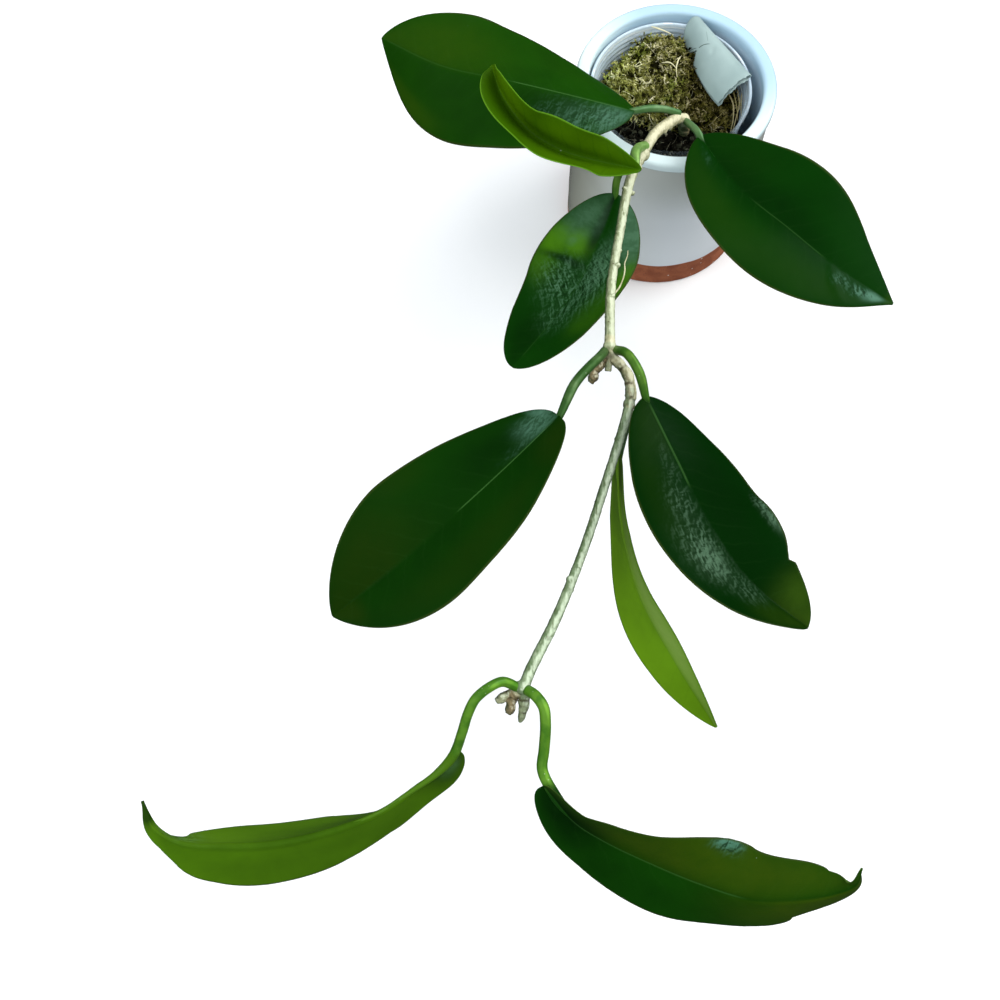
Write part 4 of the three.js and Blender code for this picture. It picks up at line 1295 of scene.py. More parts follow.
def vine():
    bark = bark_material()
    sweeps = [
        (WOODY, WOODY_RADII, 160, 0.3), (BEND, BEND_RINGS, 60, 0.4), (SLIM, SLIM_RADII, 110, 0.12),
        *[(path, radii, 36, 0.7) for path, radii, _ in SPURS],
    ]
    parts = []
    for path, radii, steps, rough in sweeps:
        parts.append(shoot("sweep", path, radii, steps, 20, bark, unevenness=rough))
    parts += [knob(place, radius) for place, radius in KNOBS]
    body = joined("vine_body", parts)
    melt = body.modifiers.new("melt", "REMESH")
    melt.mode = "VOXEL"
    melt.voxel_size = VOXEL * MM
    melt.use_smooth_shade = True
    body = plain_copy(body, "vine_body")
    body.data.materials.clear()
    body.data.materials.append(bark)
    places, outward = places_of(body), outward_of(body)
    push = np.array([noise.noise(Vector(p) * 420) + 0.6 * noise.noise(Vector(p) * 1100) for p in places])
    nubs = np.array([max(noise.noise(Vector(p) * 300 + Vector((9, 0, 0))) - 0.42, 0) for p in places])
    kinds = bark_kinds(places / MM)
    knobby = 0.00014 + 0.0004 * kinds[:, 1] + 0.0002 * kinds[:, 2]
    offset = push * knobby + nubs * 0.0022
    body.data.vertices.foreach_set("co", (places + outward * offset[:, None]).ravel())
    set_attribute(body, "bark", kinds)
    set_facing(body, LIGHT_FROM)
    threads = [
        shoot("aerial_root", ROOT, [0.5, 0.34, 0.32, 0.28, 0.22], 36, 8, bark, 0.3, 900.0),
        shoot("dry_thread", THREAD, [0.4, 0.35, 0.4, 0.8], 24, 8, bark, 0.4, 900.0),
    ]
    for thread in threads:
        fill_attribute(thread, "bark", (0.0, 0.0, 0.0))
        # The thin threads take one fixed facing: no painted shade and a little painted highlight.
        fill_attribute(thread, "facing", 0.8)
    return joined("vine_with_bark", [body, *threads])


vine_piece = vine()
finish_piece(vine_piece, "vine_bark", "vine_stem")

# %% [markdown]
# ## Leaf skin
# A hoya leaf is thick and waxy: very dark green above, paler below, with a faint pale midrib and a
# thin edge. Where the light glances off it looks blue-green, smooth in some places and finely
# crinkled in others, and this sheen is painted into the colour. One group works all of this out
# from what each blade carries: where a point lies on the blade (across, along, upper or under
# side), how much yellow-green glow, painted crinkle sheen and painted deep shade there is, and how
# much painted smooth sheen and how clear a midrib. The glow is partly the leaf's own yellow-green
# and olive and partly painted light shining through it. The crinkles are the slope of a stretched
# noise: it is read twice, a little apart, and the difference tells the lit side of each fold from
# its shaded side, which are painted as sheen and shade.

# %% Leaf skin
FOLD_SHIFT = (0.24, 0.15, 0.0)
FOLD_STRETCH = (370.0, 220.0, 1.0)
VEIN_SPACING = 10.5


def leaf_skin_group():
    inputs = {
        "Upper": ("Color", (0.006, 0.04, 0.002, 1)), "Under": ("Color", (0.1, 0.22, 0.03, 1)),
        "Vein": ("Color", (0.05, 0.15, 0.03, 1)), "Glow": ("Color", (0.1, 0.25, 0.01, 1)),
        "Bloom": ("Color", (0.07, 0.17, 0.11, 1)), "Edge": ("Color", (0.03, 0.05, 0.008, 1)),
        "Shadow": ("Color", (0.0006, 0.012, 0.0004, 1)), "Rib Width": ("Float", 0.4),
        "Side Veins": ("Float", 0.02), "Fold Turn": ("Float", 0.0), "Fold Size": ("Float", 1.0),
    }
    outputs = {"Color": "Color", "Roughness": "Float", "Height": "Float"}
    tree, build, given, result = node_group("leaf_skin", "ShaderNodeTree", inputs, outputs)
    blade = build.split(build.attribute("blade"))
    patch = build.split(build.attribute("patch"))
    marks = build.split(build.attribute("marks"))
    spread = build.place("UV")
    metres = build.split(spread)
    upper = build.math("GREATER_THAN", blade[2], 0.0)
    colour = build.mix(upper, given["Under"], given["Upper"])
    cloud = effect(build, MOTTLE, Scale=38.0, Detail=4.0, Low=0.3, High=0.7)
    colour = build.mix(cloud, build.mix(0.26, colour, given["Shadow"]), colour)
    ragged = build.math("MULTIPLY_ADD", build.noise(spread, 95.0, 4.0, 0.6), 0.9, 0.55)
    # Glow: partly the leaf's own yellow-green and olive, partly painted light shining through the blade.
    glow = build.math("MULTIPLY", patch[0], ragged, clamp=True)
    colour = build.mix(glow, colour, given["Glow"])
    # Painted deep shade where the shade patches lie.
    colour = build.mix(build.math("MULTIPLY", patch[2], ragged, clamp=True), colour, given["Shadow"])
    aside = build.math("ABSOLUTE", metres[0])
    wander = build.noise(spread, 130.0, 2.0)
    slant = build.math("MULTIPLY_ADD", aside, -0.75, metres[1])
    phase = build.math("MULTIPLY_ADD", wander, 0.55, build.math("DIVIDE", slant, VEIN_SPACING * MM))
    line = build.math("PINGPONG", phase, 0.5)
    side_vein = build.ramp(line, 0.015, 0.075, 1.0, 0.0)
    away = build.math("MULTIPLY", build.ramp(aside, 0.001, 0.02, 1.0, 0.15), given["Side Veins"])
    side_vein = build.math("MULTIPLY", side_vein, away)
    width = build.math("MULTIPLY", given["Rib Width"], MM)
    rib = build.ramp(aside, build.math("MULTIPLY", width, 0.5), width, 1.0, 0.0)
    rib = build.math("MULTIPLY", rib, marks[1])
    colour = build.mix(build.math("MAXIMUM", rib, side_vein), colour, given["Vein"])
    # Painted smooth sheen: a reflection put into the colour where the sheen patches lie.
    leather = build.ramp(build.noise(spread, 170.0, 3.0, 0.6), 0.36, 0.64, 0.7, 1.1)
    smooth = build.math("MULTIPLY", marks[0], leather, clamp=True)
    colour = build.mix(smooth, colour, given["Bloom"])
    # Painted crinkle sheen: the slope of the folds gives each fold a painted lit side in the sheen colour and
    # a painted shaded side in the shadow colour.
    values = {"Vector": spread, "Angle": given["Fold Turn"]}
    turned = build("ShaderNodeVectorRotate", values, rotation_type="Z_AXIS").outputs[0]
    folds = []
    for shift in ((0.0, 0.0, 0.0), FOLD_SHIFT):
        values = {"Vector": turned, "Location": shift, "Scale": FOLD_STRETCH}
        stretched = build("ShaderNodeMapping", values).outputs[0]
        folds.append(build.noise(stretched, given["Fold Size"], 3.0, 0.62, 0.35))
    slope = build.math("SUBTRACT", folds[0], folds[1])
    painted_fold_light = build.ramp(slope, -0.03, 0.13)
    painted_fold_dark = build.ramp(slope, -0.11, 0.0, 1.0, 0.0)
    patchy = build.math("MULTIPLY", patch[1], ragged)
    painted_crinkle_sheen = build.math("MULTIPLY", patchy, build.math("MULTIPLY_ADD", painted_fold_light, 0.68, 0.14), clamp=True)
    colour = build.mix(painted_crinkle_sheen, colour, given["Bloom"])
    painted_fold_shade = build.math("MULTIPLY", patchy, build.math("MULTIPLY", painted_fold_dark, 0.75), clamp=True)
    colour = build.mix(painted_fold_shade, colour, given["Shadow"])
    rim = build.ramp(build.math("ABSOLUTE", blade[0]), 0.955, 0.99)
    colour = build.mix(build.math("MULTIPLY", rim, 0.75), colour, given["Edge"])
    fleck = effect(build, SPECKS, Scale=230.0, Share=0.006, Size=0.09)
    colour = build.mix(build.math("MULTIPLY", fleck, 0.4), colour, (0.45, 0.55, 0.4))
    build.fill(result["Color"], colour)
    build.fill(result["Roughness"], build.math("MULTIPLY_ADD", painted_crinkle_sheen, 0.1, 0.34))
    strong = build.math("MULTIPLY_ADD", patch[1], 0.9, 0.02)
    pores = build.math("MULTIPLY", build.noise(spread, 2600.0, 1.0), 0.02)
    pores = build.math("MULTIPLY_ADD", build.math("MULTIPLY", leather, marks[0]), 0.15, pores)
    height = build.math("MULTIPLY_ADD", folds[0], strong, pores)
    build.fill(result["Height"], build.math("MULTIPLY_ADD", rib, -0.25, height))
    return tree


LEAF_SKIN = leaf_skin_group()


def leaf_material(name, **colours):
    """A waxy leaf surface with this leaf's own greens."""
    made, build, shader = new_material(name, IOR=1.45, Specular_IOR_Level=0.1)
    skin = build("ShaderNodeGroup", node_tree=LEAF_SKIN)
    for label, value in colours.items():
        build.fill(skin.inputs[label.replace("_", " ")], value)
    build.fill(shader.inputs["Base Color"], skin.outputs["Color"])
    build.fill(shader.inputs["Roughness"], skin.outputs["Roughness"])
    bump(build, shader, skin.outputs["Height"], 0.0012, 0.8)
    return made


def stalk_material(name, dark, light, leaf_end):
    """A stalk's skin with painted shade and a painted highlight. It takes the leaf's colour where it runs on
    under the blade.
    """
    made, build, shader = new_material(name, IOR=1.45, Roughness=0.36, Specular_IOR_Level=0.5)
    cloud = effect(build, MOTTLE, Scale=110.0)
    colour = build.mix(cloud, dark, light)
    fleck = effect(build, SPECKS, Scale=700.0, Share=0.05, Size=0.2)
    colour = build.mix(build.math("MULTIPLY", fleck, 0.5), colour, (0.4, 0.5, 0.3))
    # Painted shade on the side away from the light, and a painted highlight on the side towards it.
    facing = build.attribute("facing", "Fac")
    shaded = build.tinted(colour, (0.3, 0.36, 0.2))
    colour = build.mix(build.ramp(facing, -0.55, 0.45, 0.9, 0.0), colour, shaded)
    bright = build.tinted(colour, (2.2, 1.9, 2.6))
    colour = build.mix(build.ramp(facing, 0.86, 0.98, 0.0, 0.7), colour, bright)
    colour = build.mix(build.attribute("ending", "Fac"), colour, leaf_end)
    build.fill(shader.inputs["Base Color"], colour)
    bump(build, shader, effect(build, RELIEF, Scale=500.0, Detail=2.0), 0.0003, 0.5)
    return made


print("leaf skin group has", len(LEAF_SKIN.nodes), "nodes")

# %% [markdown]
# ## Leaf blades
# Every blade is a sheet hung on a curved midrib. Its width follows a rule with a rounder base and
# a more drawn-out tip, and each half is tilted by an angle that changes from base to tip, so one
# leaf lies flat while another folds up or rolls over. Small waves run along the margins. The
# numbers are those of the solids, so each blade lies exactly in its solid's place. Patches say
# where the skin glows yellow-green, partly painted light shining through, has painted crinkle sheen
# or painted smooth sheen, or lies in painted deep shade: along, across, their two radii and
# strength. Ribs say from where to where the midrib shows, and how clearly. A ridge is a low fold
# across the blade.

# %% Leaf blades
LEAVES = [
    {
        "name": "leaf_1", "half": 35.3, "widest": 0.61, "base": 0.65, "tip": 0.84, "stalk_look": "grey",
        "stalk": [(-1, -24, 121), (-9, -26, 127), (-18, -30, 133)],
        "rib": [(-26, -34, 136), (-58, -29, 143), (-90, -22, 147), (-122, -9, 143), (-153, 14, 138)],
        "left": (-1, -16, -37, -61), "right": (-21, -14, 1, 38), "slot": "mature_leaf",
        "skin": {"Upper": (0.0066, 0.051, 0.0004), "Glow": (0.017, 0.056, 0.0005), "Fold_Turn": 1.3},
        "glow": [(0.8, -0.3, 0.3, 0.6, 0.7), (0.8, 0.85, 0.12, 0.2, 0.8), (0.35, -0.7, 0.25, 0.3, 0.1)],
        "painted_crinkle_sheen": [(0.13, 0.55, 0.13, 0.45, 0.75), (0.27, 0.42, 0.08, 0.3, 0.35)],
        "sheen": [(0.07, 0.5, 0.07, 0.5, 0.55), (0.2, 0.5, 0.07, 0.35, 0.15)],
        "shade": [(0.28, 0.3, 0.16, 0.3, 0.5), (0.5, 0.5, 0.2, 0.4, 0.3)],
        "ribs": [(0.04, 0.42, 0.5), (0.42, 0.95, 0.12)],
    },
    {
        "name": "leaf_2", "half": 33.5, "widest": 0.47, "base": 0.71, "tip": 1.07, "stalk_look": "grey",
        "stalk": [(3, -26, 117), (5, -32, 121), (7, -38, 124)],
        "rib": [(8, -41, 124), (25, -73, 125), (47, -98, 126), (70, -118, 121), (97, -134, 113)],
        "left": (22, 21, 14, 7), "right": (15, 7, -2, 7), "slot": "mature_leaf",
        "skin": {"Upper": (0.0012, 0.029, 0.0003), "Glow": (0.0065, 0.036, 0.0004), "Fold_Turn": -0.6},
        "glow": [(0.3, -0.7, 0.3, 0.4, 0.7), (0.6, -0.6, 0.3, 0.4, 0.5), (0.15, 0.5, 0.2, 0.5, 0.15),
                 (0.99, 0.0, 0.025, 1.2, 2.0)],
        "painted_crinkle_sheen": [
            (0.79, -0.22, 0.035, 0.16, 0.6), (0.87, -0.33, 0.05, 0.2, 1.0), (0.1, -0.25, 0.05, 0.12, 0.15),
        ],
        "sheen": [(0.92, -0.38, 0.04, 0.3, 0.95)],
        "shade": [(0.45, 0.1, 0.3, 0.3, 0.4)], "ribs": [(0.36, 0.66, 0.2)],
        "ridge": (0.77, -0.35, 0.018, 0.5),
    },
    {
        "name": "leaf_3", "half": 19.8, "widest": 0.48, "base": 0.84, "tip": 0.84, "stalk_look": "pale",
        "stalk_radius": 2.5,
        "stalk": [(-22, -55, 136), (-26, -60.5, 142), (-28.8, -69, 148.5)],
        "rib": [
            (-27, -80.5, 152.5), (-46, -76, 153), (-64, -73, 158), (-79, -65, 162), (-91, -51, 168),
            (-97, -29, 166),
        ],
        "left": (19, 41, 43, 35), "right": (69, 88, 94, 99), "slot": "young_leaf",
        "skin": {
            "Upper": (0.038, 0.11, 0.0006), "Under": (0.055, 0.15, 0.0008), "Glow": (0.066, 0.16, 0.001),
            "Shadow": (0.016, 0.06, 0.0006), "Edge": (0.11, 0.27, 0.012), "Side_Veins": 0.55,
            "Vein": (0.028, 0.095, 0.001),
        },
        "glow": [(0.35, -0.6, 0.25, 0.4, 0.8), (0.3, 0.6, 0.25, 0.4, 0.5), (0.8, -0.3, 0.2, 0.8, 1.2)],
        "painted_crinkle_sheen": [], "sheen": [], "shade": [(0.45, 0.0, 0.45, 0.3, 0.25)], "ribs": [],
        "waves": [(0.8, 3.5, 0.6, 1), (0.9, 3.0, 2.0, -1)], "open": 0.24,
    },
    {
        "name": "leaf_4", "half": 27.2, "widest": 0.47, "base": 0.65, "tip": 0.59, "stalk_look": "fresh",
        "stalk": [(-25, -60.5, 136), (-33, -65, 133), (-36, -69, 128)],
        "rib": [(-36, -74, 123), (-46, -99, 118), (-58, -123, 116), (-73, -142, 111), (-90, -163, 111)],
        "left": (22, 27, 34, 25), "right": (28, 9, -13, -24), "slot": "mature_leaf",
        "skin": {
            "Upper": (0.0022, 0.034, 0.0006), "Glow": (0.042, 0.14, 0.0015), "Bloom": (0.06, 0.145, 0.075),
            "Fold_Turn": 0.7, "Fold_Size": 0.8,
        },
        "glow": [
            (0.33, -0.8, 0.1, 0.35, 1.0), (0.3, -0.4, 0.075, 0.3, 1.1), (0.43, 0.9, 0.12, 0.2, 0.8),
            (0.46, -0.8, 0.12, 0.3, 0.55), (0.6, 0.75, 0.14, 0.3, 0.3),
        ],
        "painted_crinkle_sheen": [
            (0.52, -0.3, 0.13, 0.45, 0.95), (0.45, 0.25, 0.19, 0.4, 1.0), (0.64, 0.05, 0.12, 0.4, 0.7),
        ],
        "sheen": [
            (0.15, -0.55, 0.13, 0.45, 0.6), (0.3, -0.5, 0.03, 0.1, 0.4), (0.17, 0.8, 0.18, 0.36, 1.0),
            (0.38, 0.3, 0.14, 0.2, 0.55),
        ],
        "shade": [
            (0.1, -0.12, 0.22, 0.16, 1.2), (0.405, -0.45, 0.022, 0.4, 0.9), (0.85, -0.3, 0.15, 0.5, 0.6),
        ],
        "ribs": [(0.3, 0.9, 0.12)], "ridge": (0.44, -0.5, 0.05, 1.3),
    },
    {
        "name": "leaf_5", "half": 32.1, "widest": 0.59, "base": 0.43, "tip": 0.83, "stalk_look": "deep",
        "stalk_radius": 2.2,
        "stalk": [(-48, -171.5, 142.5), (-51.5, -178, 148.5), (-56, -184.3, 153), (-64, -196, 158)],
        "rib": [
            (-71, -211, 158), (-95, -232, 151), (-120, -253, 145), (-145, -272, 137), (-172, -289, 124),
        ],
        "left": (43, 27, 15, 7), "right": (-30, -8, 20, 41), "slot": "mature_leaf",
        "skin": {"Upper": (0.0024, 0.028, 0.0003), "Glow": (0.0075, 0.028, 0.0004), "Fold_Turn": 0.4},
        "glow": [(0.85, -0.3, 0.25, 0.8, 0.9), (0.5, 0.7, 0.3, 0.3, 0.5), (0.55, -0.9, 0.12, 0.25, 0.4),
                 (0.06, 0.6, 0.1, 0.5, 0.8), (0.95, 0.3, 0.06, 0.6, 1.2)],
        "painted_crinkle_sheen": [(0.06, -0.35, 0.08, 0.35, 0.5), (0.14, -0.12, 0.09, 0.1, 0.25)],
        "sheen": [(0.035, -0.75, 0.03, 0.35, 0.7), (0.07, -0.3, 0.07, 0.35, 0.45)],
        "shade": [(0.25, -0.35, 0.17, 0.35, 0.5)], "ribs": [(0.05, 0.42, 0.55)],
    },
    {
        "name": "leaf_6", "half": 27.8, "widest": 0.54, "base": 0.61, "tip": 0.66, "stalk_look": "fresh",
        "stalk_radius": 2.2,
        "stalk": [(-43.5, -171.5, 143), (-39, -177, 149.5), (-34, -186, 148.5)],
        "rib": [(-31, -195, 142), (-19, -227, 142), (-8, -259, 146), (7, -284, 145), (30, -304, 142)],
        "left": (-23, -15, 4, 20), "right": (12, 15, 27, 50), "slot": "mature_leaf",
        "dent": {"start": 0.7, "deepest": 0.81, "end": 0.84, "depth": 2.4},
        "skin": {
            "Upper": (0.0003, 0.0165, 0.0002), "Glow": (0.024, 0.06, 0.002), "Bloom": (0.07, 0.14, 0.08),
            "Fold_Turn": -0.25, "Rib_Width": 0.7,
        },
        "glow": [
            (0.95, 0.5, 0.11, 0.8, 0.8), (0.92, -0.5, 0.1, 0.5, 0.35), (0.1, -0.3, 0.15, 0.6, 0.14),
            (0.35, -0.6, 0.3, 0.3, 0.1),
        ],
        "painted_crinkle_sheen": [
            (0.62, -0.38, 0.12, 0.33, 1.0), (0.46, -0.28, 0.13, 0.24, 0.55), (0.3, -0.2, 0.12, 0.16, 0.25),
            (0.57, 0.93, 0.09, 0.1, 0.9), (0.77, -0.25, 0.07, 0.3, 0.6),
        ],
        "sheen": [(0.64, -0.36, 0.06, 0.2, 0.75), (0.6, 0.96, 0.08, 0.08, 0.7)],
        "shade": [(0.4, 0.4, 0.3, 0.4, 0.6)], "ribs": [(0.04, 0.34, 0.3)],
        "waves": [(0.9, 3.2, 1.2, 1)],
    },
    {
        "name": "leaf_7", "half": 21.6, "widest": 0.45, "base": 0.37, "tip": 0.9, "turned": True,
        "stalk_look": "grey",
        "stalk": [(-38, -196, 135), (-39, -202, 130)],
        "rib": [(-42.5, -214, 124), (-41, -243, 106), (-33, -272, 89), (-16.3, -302, 75), (2, -330, 62)],
        "left": (90, 92, 86, 88), "right": (-82, -80, -53, -27), "slot": "leaf_underside",
        "skin": {
            "Under": (0.138, 0.305, 0.006), "Glow": (0.25, 0.4, 0.08), "Shadow": (0.03, 0.08, 0.003),
            "Vein": (0.045, 0.13, 0.004), "Edge": (0.06, 0.13, 0.006), "Side_Veins": 0.08,
        },
        "glow": [(0.6, 0.5, 0.4, 0.5, 0.8)], "painted_crinkle_sheen": [], "sheen": [],
        "shade": [(0.03, 0.0, 0.1, 1.2, 1.1), (0.2, -0.5, 0.13, 0.5, 0.3), (0.45, -0.6, 0.3, 0.3, 0.1)],
        "ribs": [(0.45, 1.0, 0.3)], "waves": [],
    },
    {
        "name": "leaf_8", "half": 24.7, "widest": 0.59, "base": 0.66, "tip": 1.8, "turned": True,
        "stalk_look": "bright", "stalk_radius": 2.2,
        "stalk": [
            (-92, -323, 126), (-98.5, -321.5, 131), (-104.5, -324.5, 133), (-110, -328.6, 131),
            (-113.5, -334, 126), (-116.2, -340.1, 118),
        ],
        "rib": [
            (-119.2, -345, 107), (-123.2, -351, 101), (-136, -359, 97), (-151, -370, 102),
            (-171, -378, 105), (-197, -383, 103), (-220, -384, 107), (-235, -383, 112),
            (-248, -376, 110), (-253, -365, 111),
        ],
        "left": (-42, -70, -64, -55, -45, -45), "right": (-76, -83, -70, -64, -67, -96),
        "slot": "leaf_underside",
        "skin": {
            "Under": (0.058, 0.15, 0.002), "Glow": (0.085, 0.2, 0.004), "Vein": (0.035, 0.11, 0.002),
            "Bloom": (0.12, 0.27, 0.09), "Shadow": (0.012, 0.04, 0.001), "Edge": (0.05, 0.09, 0.01),
            "Side_Veins": 0.0,
        },
        "glow": [(0.8, -0.3, 0.2, 0.9, 0.9), (0.5, -0.85, 0.25, 0.35, 0.5)],
        "painted_crinkle_sheen": [(0.84, -0.5, 0.07, 0.4, 0.7)], "sheen": [(0.05, 0.0, 0.05, 0.6, 0.3)],
        "shade": [
            (0.05, 0.0, 0.1, 1.2, 1.0), (0.45, 0.7, 0.3, 0.5, 0.25), (0.985, 0.0, 0.05, 1.5, 1.6),
            (0.55, 0.0, 0.4, 0.1, 0.5),
        ],
        "ribs": [], "waves": [],
    },
    {
        "name": "leaf_9", "half": 27, "widest": 0.52, "base": 0.42, "tip": 1.1, "stalk_look": "bright",
        "stalk_radius": 2.4,
        "stalk": [
            (-88, -324.5, 127), (-84.6, -327.6, 130), (-81.4, -332.6, 130), (-80.7, -339, 126),
            (-81.4, -348, 118), (-82.3, -356, 113),
        ],
        "rib": [
            (-81.8, -362.3, 111), (-69.3, -376.4, 103), (-57.1, -384.2, 100), (-37, -394, 98),
            (-17, -403, 101), (3, -410, 106), (20, -411, 111), (37, -409, 109), (45.5, -406, 112),
            (47, -400, 119),
        ],
        "left": (85, 80, 69, 41, 37, 32), "right": (-61, -56, -49, -68, -71, -77), "slot": "mature_leaf",
        "skin": {
            "Upper": (0.004, 0.045, 0.0005), "Glow": (0.03, 0.065, 0.001), "Bloom": (0.06, 0.17, 0.11),
            "Fold_Turn": 1.2, "Rib_Width": 0.6,
        },
        "glow": [(0.5, 0.6, 0.5, 0.6, 0.85), (0.85, -0.4, 0.25, 0.9, 0.9)],
        "painted_crinkle_sheen": [(0.57, 0.9, 0.045, 0.16, 1.0)], "sheen": [(0.57, 0.95, 0.04, 0.12, 1.0)],
        "shade": [(0.3, -0.6, 0.3, 0.4, 0.3), (0.1, 0.0, 0.14, 0.9, 0.9)], "ribs": [(0.05, 0.6, 0.3)],
        "waves": [], "open": 0.2,
    },
]
ROWS = 150
HALF_COLUMNS = 22
FINE = 6
LEAST_HALF = 0.7
BLADE_THICK = 1.1
BLADE_LENGTH = 135.0
CREASE = 0.07
STALK_RADIUS = 1.9
PLAIN_WAVES = [(0.45, 2.3, 0.4, 1), (0.5, 2.8, 1.9, -1)]


def half_width(leaf, t):
    """Half the blade's width at shares t of its length, in millimetres."""
    share = np.where(t < leaf["widest"], 1 - t / leaf["widest"], (t - leaf["widest"]) / (1 - leaf["widest"]))
    power = np.where(t < leaf["widest"], leaf["base"], leaf["tip"])
    return LEAST_HALF + (leaf["half"] - LEAST_HALF) * np.maximum(1 - share**2, 0) ** power


def dent(leaf, t):
    """How far the left margin is drawn in, in millimetres: a slanting bite, sharp at its end."""
    if "dent" not in leaf:
        return np.zeros_like(t)
    start, deepest, end, depth = leaf["dent"].values()
    opening = np.clip((t - start) / (deepest - start), 0, 1) ** 1.5
    closing = np.clip((end - t) / (end - deepest), 0, 1)
    return depth * np.minimum(opening, closing)


def rib_frame(leaf, t):
    """Midrib points, the level way to the left, the way up, and the two tilts in radians."""
    point = path_points(leaf["rib"], t)
    step = 0.004
    ahead = path_points(leaf["rib"], np.minimum(t + step, 1))
    tangent = unit(ahead - path_points(leaf["rib"], np.maximum(t - step, 0)))
    level = unit(np.cross((0, 0, 1), tangent))
    rise = np.cross(tangent, level)
    left, right = along(leaf["left"], t), along(leaf["right"], t)
    width = half_width(leaf, t)
    limit = np.maximum(84 - np.degrees(np.arctan(2.9 / width)), 0)
    fold = np.clip((left + right) / 2, -limit, limit)
    roll = (left - right) / 2
    return point, level, rise, np.radians(fold + roll), np.radians(fold - roll), width


def patch_strength(patches, t, c):
    """The strongest of several soft oval patches at each place of a blade."""
    strength = np.zeros(np.broadcast(t, c).shape)
    for at, across, long, wide, amount in patches:
        far = ((t - at) / long) ** 2 + ((c - across) / wide) ** 2
        edge = soft_step(c * np.sign(across), -0.02, 0.02) if abs(across) > 0.1 else 1.0
        strength = np.maximum(strength, amount * np.exp(-(far**1.5)) * edge)
    return strength


def stretch_strength(stretches, t):
    """Soft stretches along a blade, each from one share of its length to another."""
    strength = np.zeros_like(t)
    for start, end, amount in stretches:
        begun = soft_step(t, start - 0.04, start + 0.04)
        ending = soft_step(-t, -end - 0.05, -end)
        strength = np.maximum(strength, amount * begun * ending)
    return strength


def relief(leaf, t, c):
    """How far the sheet is pushed out along its normal, in millimetres."""
    push = 0.55 * np.sin(math.pi * np.abs(c)) * np.sin(math.pi * t)
    for size, count, start, side in leaf.get("waves", PLAIN_WAVES):
        reach = np.where(c * side > 0, np.abs(c) ** 3, 0)
        push = push + size * reach * np.sin(2 * math.pi * count * t + start) * np.sin(math.pi * t)
    if "ridge" in leaf:
        at, across, long, tall = leaf["ridge"]
        slanted = t + 0.12 * (c - across) - at
        push = push + tall * np.exp(-((slanted / long) ** 2) - ((c - across) / 0.45) ** 2)
    return push


def crinkles(leaf, t, c, width):
    """Fine folds of the skin, strongest where the crinkle sheen is painted."""
    strength = 0.04 + 0.3 * patch_strength(leaf["painted_crinkle_sheen"], t, c)
    u, v = c * width, t * BLADE_LENGTH
    seed = leaf["half"] * 7
    flat = np.stack(np.broadcast_arrays(u * 0.32, v * 0.5 - 0.2 * np.abs(u), seed), -1).reshape(-1, 3)
    cloud = np.array([noise.noise(Vector(p)) for p in flat]).reshape(u.shape)
    return strength * cloud


def blade_points(leaf):
    """The upper and under sheets of a blade, with where each point lies on it."""
    even = np.linspace(0, 1, ROWS)
    t = 0.5 * even + 0.25 * (1 - np.cos(math.pi * even))
    point, level, rise, left, right, width = rib_frame(leaf, t)
    c = np.linspace(-1, 1, 2 * HALF_COLUMNS * FINE + 1)
    crease = leaf.get("open", CREASE)
    turn = -right[:, None] + (left + right)[:, None] * soft_step(c, -crease, crease)[None, :]
    way = level[:, None, :] * np.cos(turn)[..., None] + rise[:, None, :] * np.sin(turn)[..., None]
    middle = (way[:, 1:] + way[:, :-1]) / 2 * (c[1] - c[0])
    sheet = np.concatenate([np.zeros((ROWS, 1, 3)), np.cumsum(middle, axis=1)], axis=1)
    sheet = (sheet - sheet[:, [HALF_COLUMNS * FINE]]) * width[:, None, None]
    drawn_in = np.where(c[None, :] > 0, 1 - (dent(leaf, t) / width)[:, None], 1.0)
    sheet = sheet * drawn_in[..., None] + point[:, None, :]
    sheet, c = sheet[:, ::FINE], c[::FINE]
    normal = unit(np.cross(np.gradient(sheet, axis=0), np.gradient(sheet, axis=1)))
    t_grid, c_grid = np.broadcast_arrays(t[:, None], c[None, :])
    u = c_grid * width[:, None]
    push = relief(leaf, t_grid, c_grid)
    if leaf.get("turned"):
        push = -push
    sheet = sheet + normal * push[..., None]
    normal = unit(np.cross(np.gradient(sheet, axis=0), np.gradient(sheet, axis=1)))
    half = BLADE_THICK / 2 * (1 - 0.35 * np.abs(c_grid)) * (1 - 0.6 * np.abs(c_grid) ** 16)
    fade = np.minimum(1, np.minimum(t_grid, 1 - t_grid) * 40)
    groove = 0.22 * np.exp(-((u / 1.1) ** 2)) * fade * (1 - 0.6 * t_grid)
    keel = 0.35 * np.exp(-((u / 1.3) ** 2)) * fade * (1 - t_grid)
    skin = crinkles(leaf, t_grid, c_grid, width[:, None]) * fade
    over, under = (keel, -groove) if leaf.get("turned") else (-groove, keel)
    top = sheet + normal * (half + over + skin)[..., None]
    bottom = sheet - normal * (half + under - skin)[..., None]
    return top, bottom, t_grid, c_grid, u


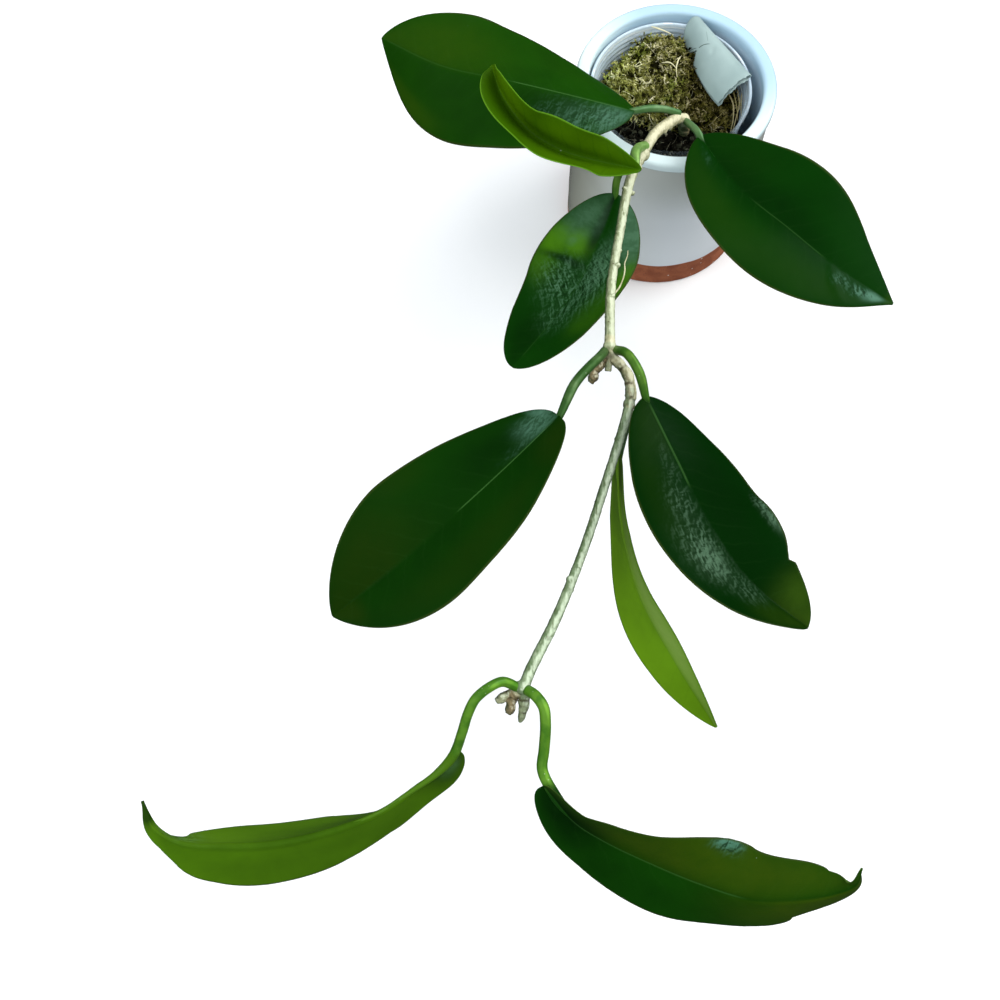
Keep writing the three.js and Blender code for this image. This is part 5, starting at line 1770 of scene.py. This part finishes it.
def add_blade(leaf, material):
    """One closed sheet: an upper and an under side, joined round the edge."""
    top, bottom, t, c, u = blade_points(leaf)
    rows, columns = t.shape
    count = rows * columns
    faces = np.vstack([grid_faces(rows, columns, flip=True), grid_faces(rows, columns, start=count)])
    edge = np.r_[
        np.arange(columns), np.arange(1, rows) * columns + columns - 1,
        (rows - 1) * columns + np.arange(columns - 2, -1, -1), np.arange(rows - 2, 0, -1) * columns,
    ]
    after = np.roll(edge, -1)
    faces = np.vstack([faces, np.stack([after + count, edge + count, edge, after], -1)])
    points = np.vstack([top.reshape(-1, 3), bottom.reshape(-1, 3)])
    blade = new_mesh(leaf["name"] + "_blade", points, faces, [material])
    over = -1.0 if leaf.get("turned") else 1.0
    side = np.r_[np.full(count, over), np.full(count, -over)]
    set_attribute(blade, "blade", np.stack([np.tile(c.ravel(), 2), np.tile(t.ravel(), 2), side], -1))
    patch = np.stack([patch_strength(leaf[kind], t, c).ravel() for kind in ("glow", "painted_crinkle_sheen", "shade")], -1)
    set_attribute(blade, "patch", np.tile(patch, (2, 1)))
    sheen, ribs = patch_strength(leaf["sheen"], t, c), stretch_strength(leaf["ribs"], t)
    marks = np.stack([sheen.ravel(), ribs.ravel(), np.zeros(count)], -1)
    set_attribute(blade, "marks", np.tile(marks, (2, 1)))
    spread = np.tile(np.stack([u.ravel(), t.ravel() * BLADE_LENGTH], -1), (2, 1)) * MM
    set_uv(blade, "blade_map", spread)
    return blade


def add_stalk(leaf, material):
    """The round stalk, running on as a ridge along the underside of the blade."""
    t = np.array([0.03, 0.1, 0.2, 0.3, 0.42])
    point, level, rise, left, right, _ = rib_frame(leaf, t)
    roll = ((left - right) / 2)[:, None]
    back = level * np.sin(roll) - rise * np.cos(roll)
    ridge_radii = [1.5, 1.1, 0.9, 0.7, 0.3]
    depth = np.array([[1.4], [1.1], [0.9], [0.7], [0.4]])
    if leaf.get("turned"):
        back, depth = -back, depth * 0.3
    ridge = [tuple(p) for p in point + back * depth]
    stalk = leaf["stalk"]
    path = [*stalk, *ridge]
    radii = [leaf.get("stalk_radius", STALK_RADIUS)] * len(stalk) + ridge_radii
    made = shoot(leaf["name"] + "_stalk", path, radii, 90, 18, material, unevenness=0.12, grain=400.0)
    _, share = nearest(places_of(made) / MM, path, 90)
    legs = np.linalg.norm(np.diff(np.array(path, dtype=float), axis=0), axis=1)
    joint = legs[: len(stalk)].sum() / legs.sum()
    set_attribute(made, "ending", soft_step(share, joint - 0.06, joint + 0.01))
    # The way from which the stalk's painted light comes.
    set_facing(made, (0.5, -0.1, 0.86))
    return made


# the darker and the lighter green of each look
STALK_LOOKS = {
    "pale": ((0.12, 0.26, 0.045), (0.2, 0.36, 0.08)),
    "bright": ((0.042, 0.148, 0.006), (0.098, 0.24, 0.015)),
    "fresh": ((0.028, 0.1, 0.005), (0.07, 0.165, 0.013)),
    "deep": ((0.023, 0.075, 0.012), (0.055, 0.12, 0.03)),
    "grey": ((0.05, 0.13, 0.035), (0.1, 0.2, 0.07)),
}


def add_leaf(leaf):
    """Blade and stalk, each with its own skin, made one piece."""
    name, colours = leaf["name"], leaf["skin"]
    leaf_end = colours["Under" if leaf.get("turned") else "Upper"]
    skin = leaf_material(name + "_skin", **colours)
    stalk_skin = stalk_material(name + "_stalk_skin", *STALK_LOOKS[leaf["stalk_look"]], leaf_end)
    blade = add_blade(leaf, skin)
    stalk = add_stalk(leaf, stalk_skin)
    finish_piece(joined(name + "_waxy", [blade, stalk]), leaf["slot"], name)


for leaf in LEAVES:
    add_leaf(leaf)

# %% [markdown]
# ## Sizes
# The pieces are counted, with their triangles. The dressed plant has to stay in the box of
# the solids.

# %% Sizes
bpy.context.view_layer.update()
print(len(PIECES), "pieces with", sum(PIECES), "triangles")
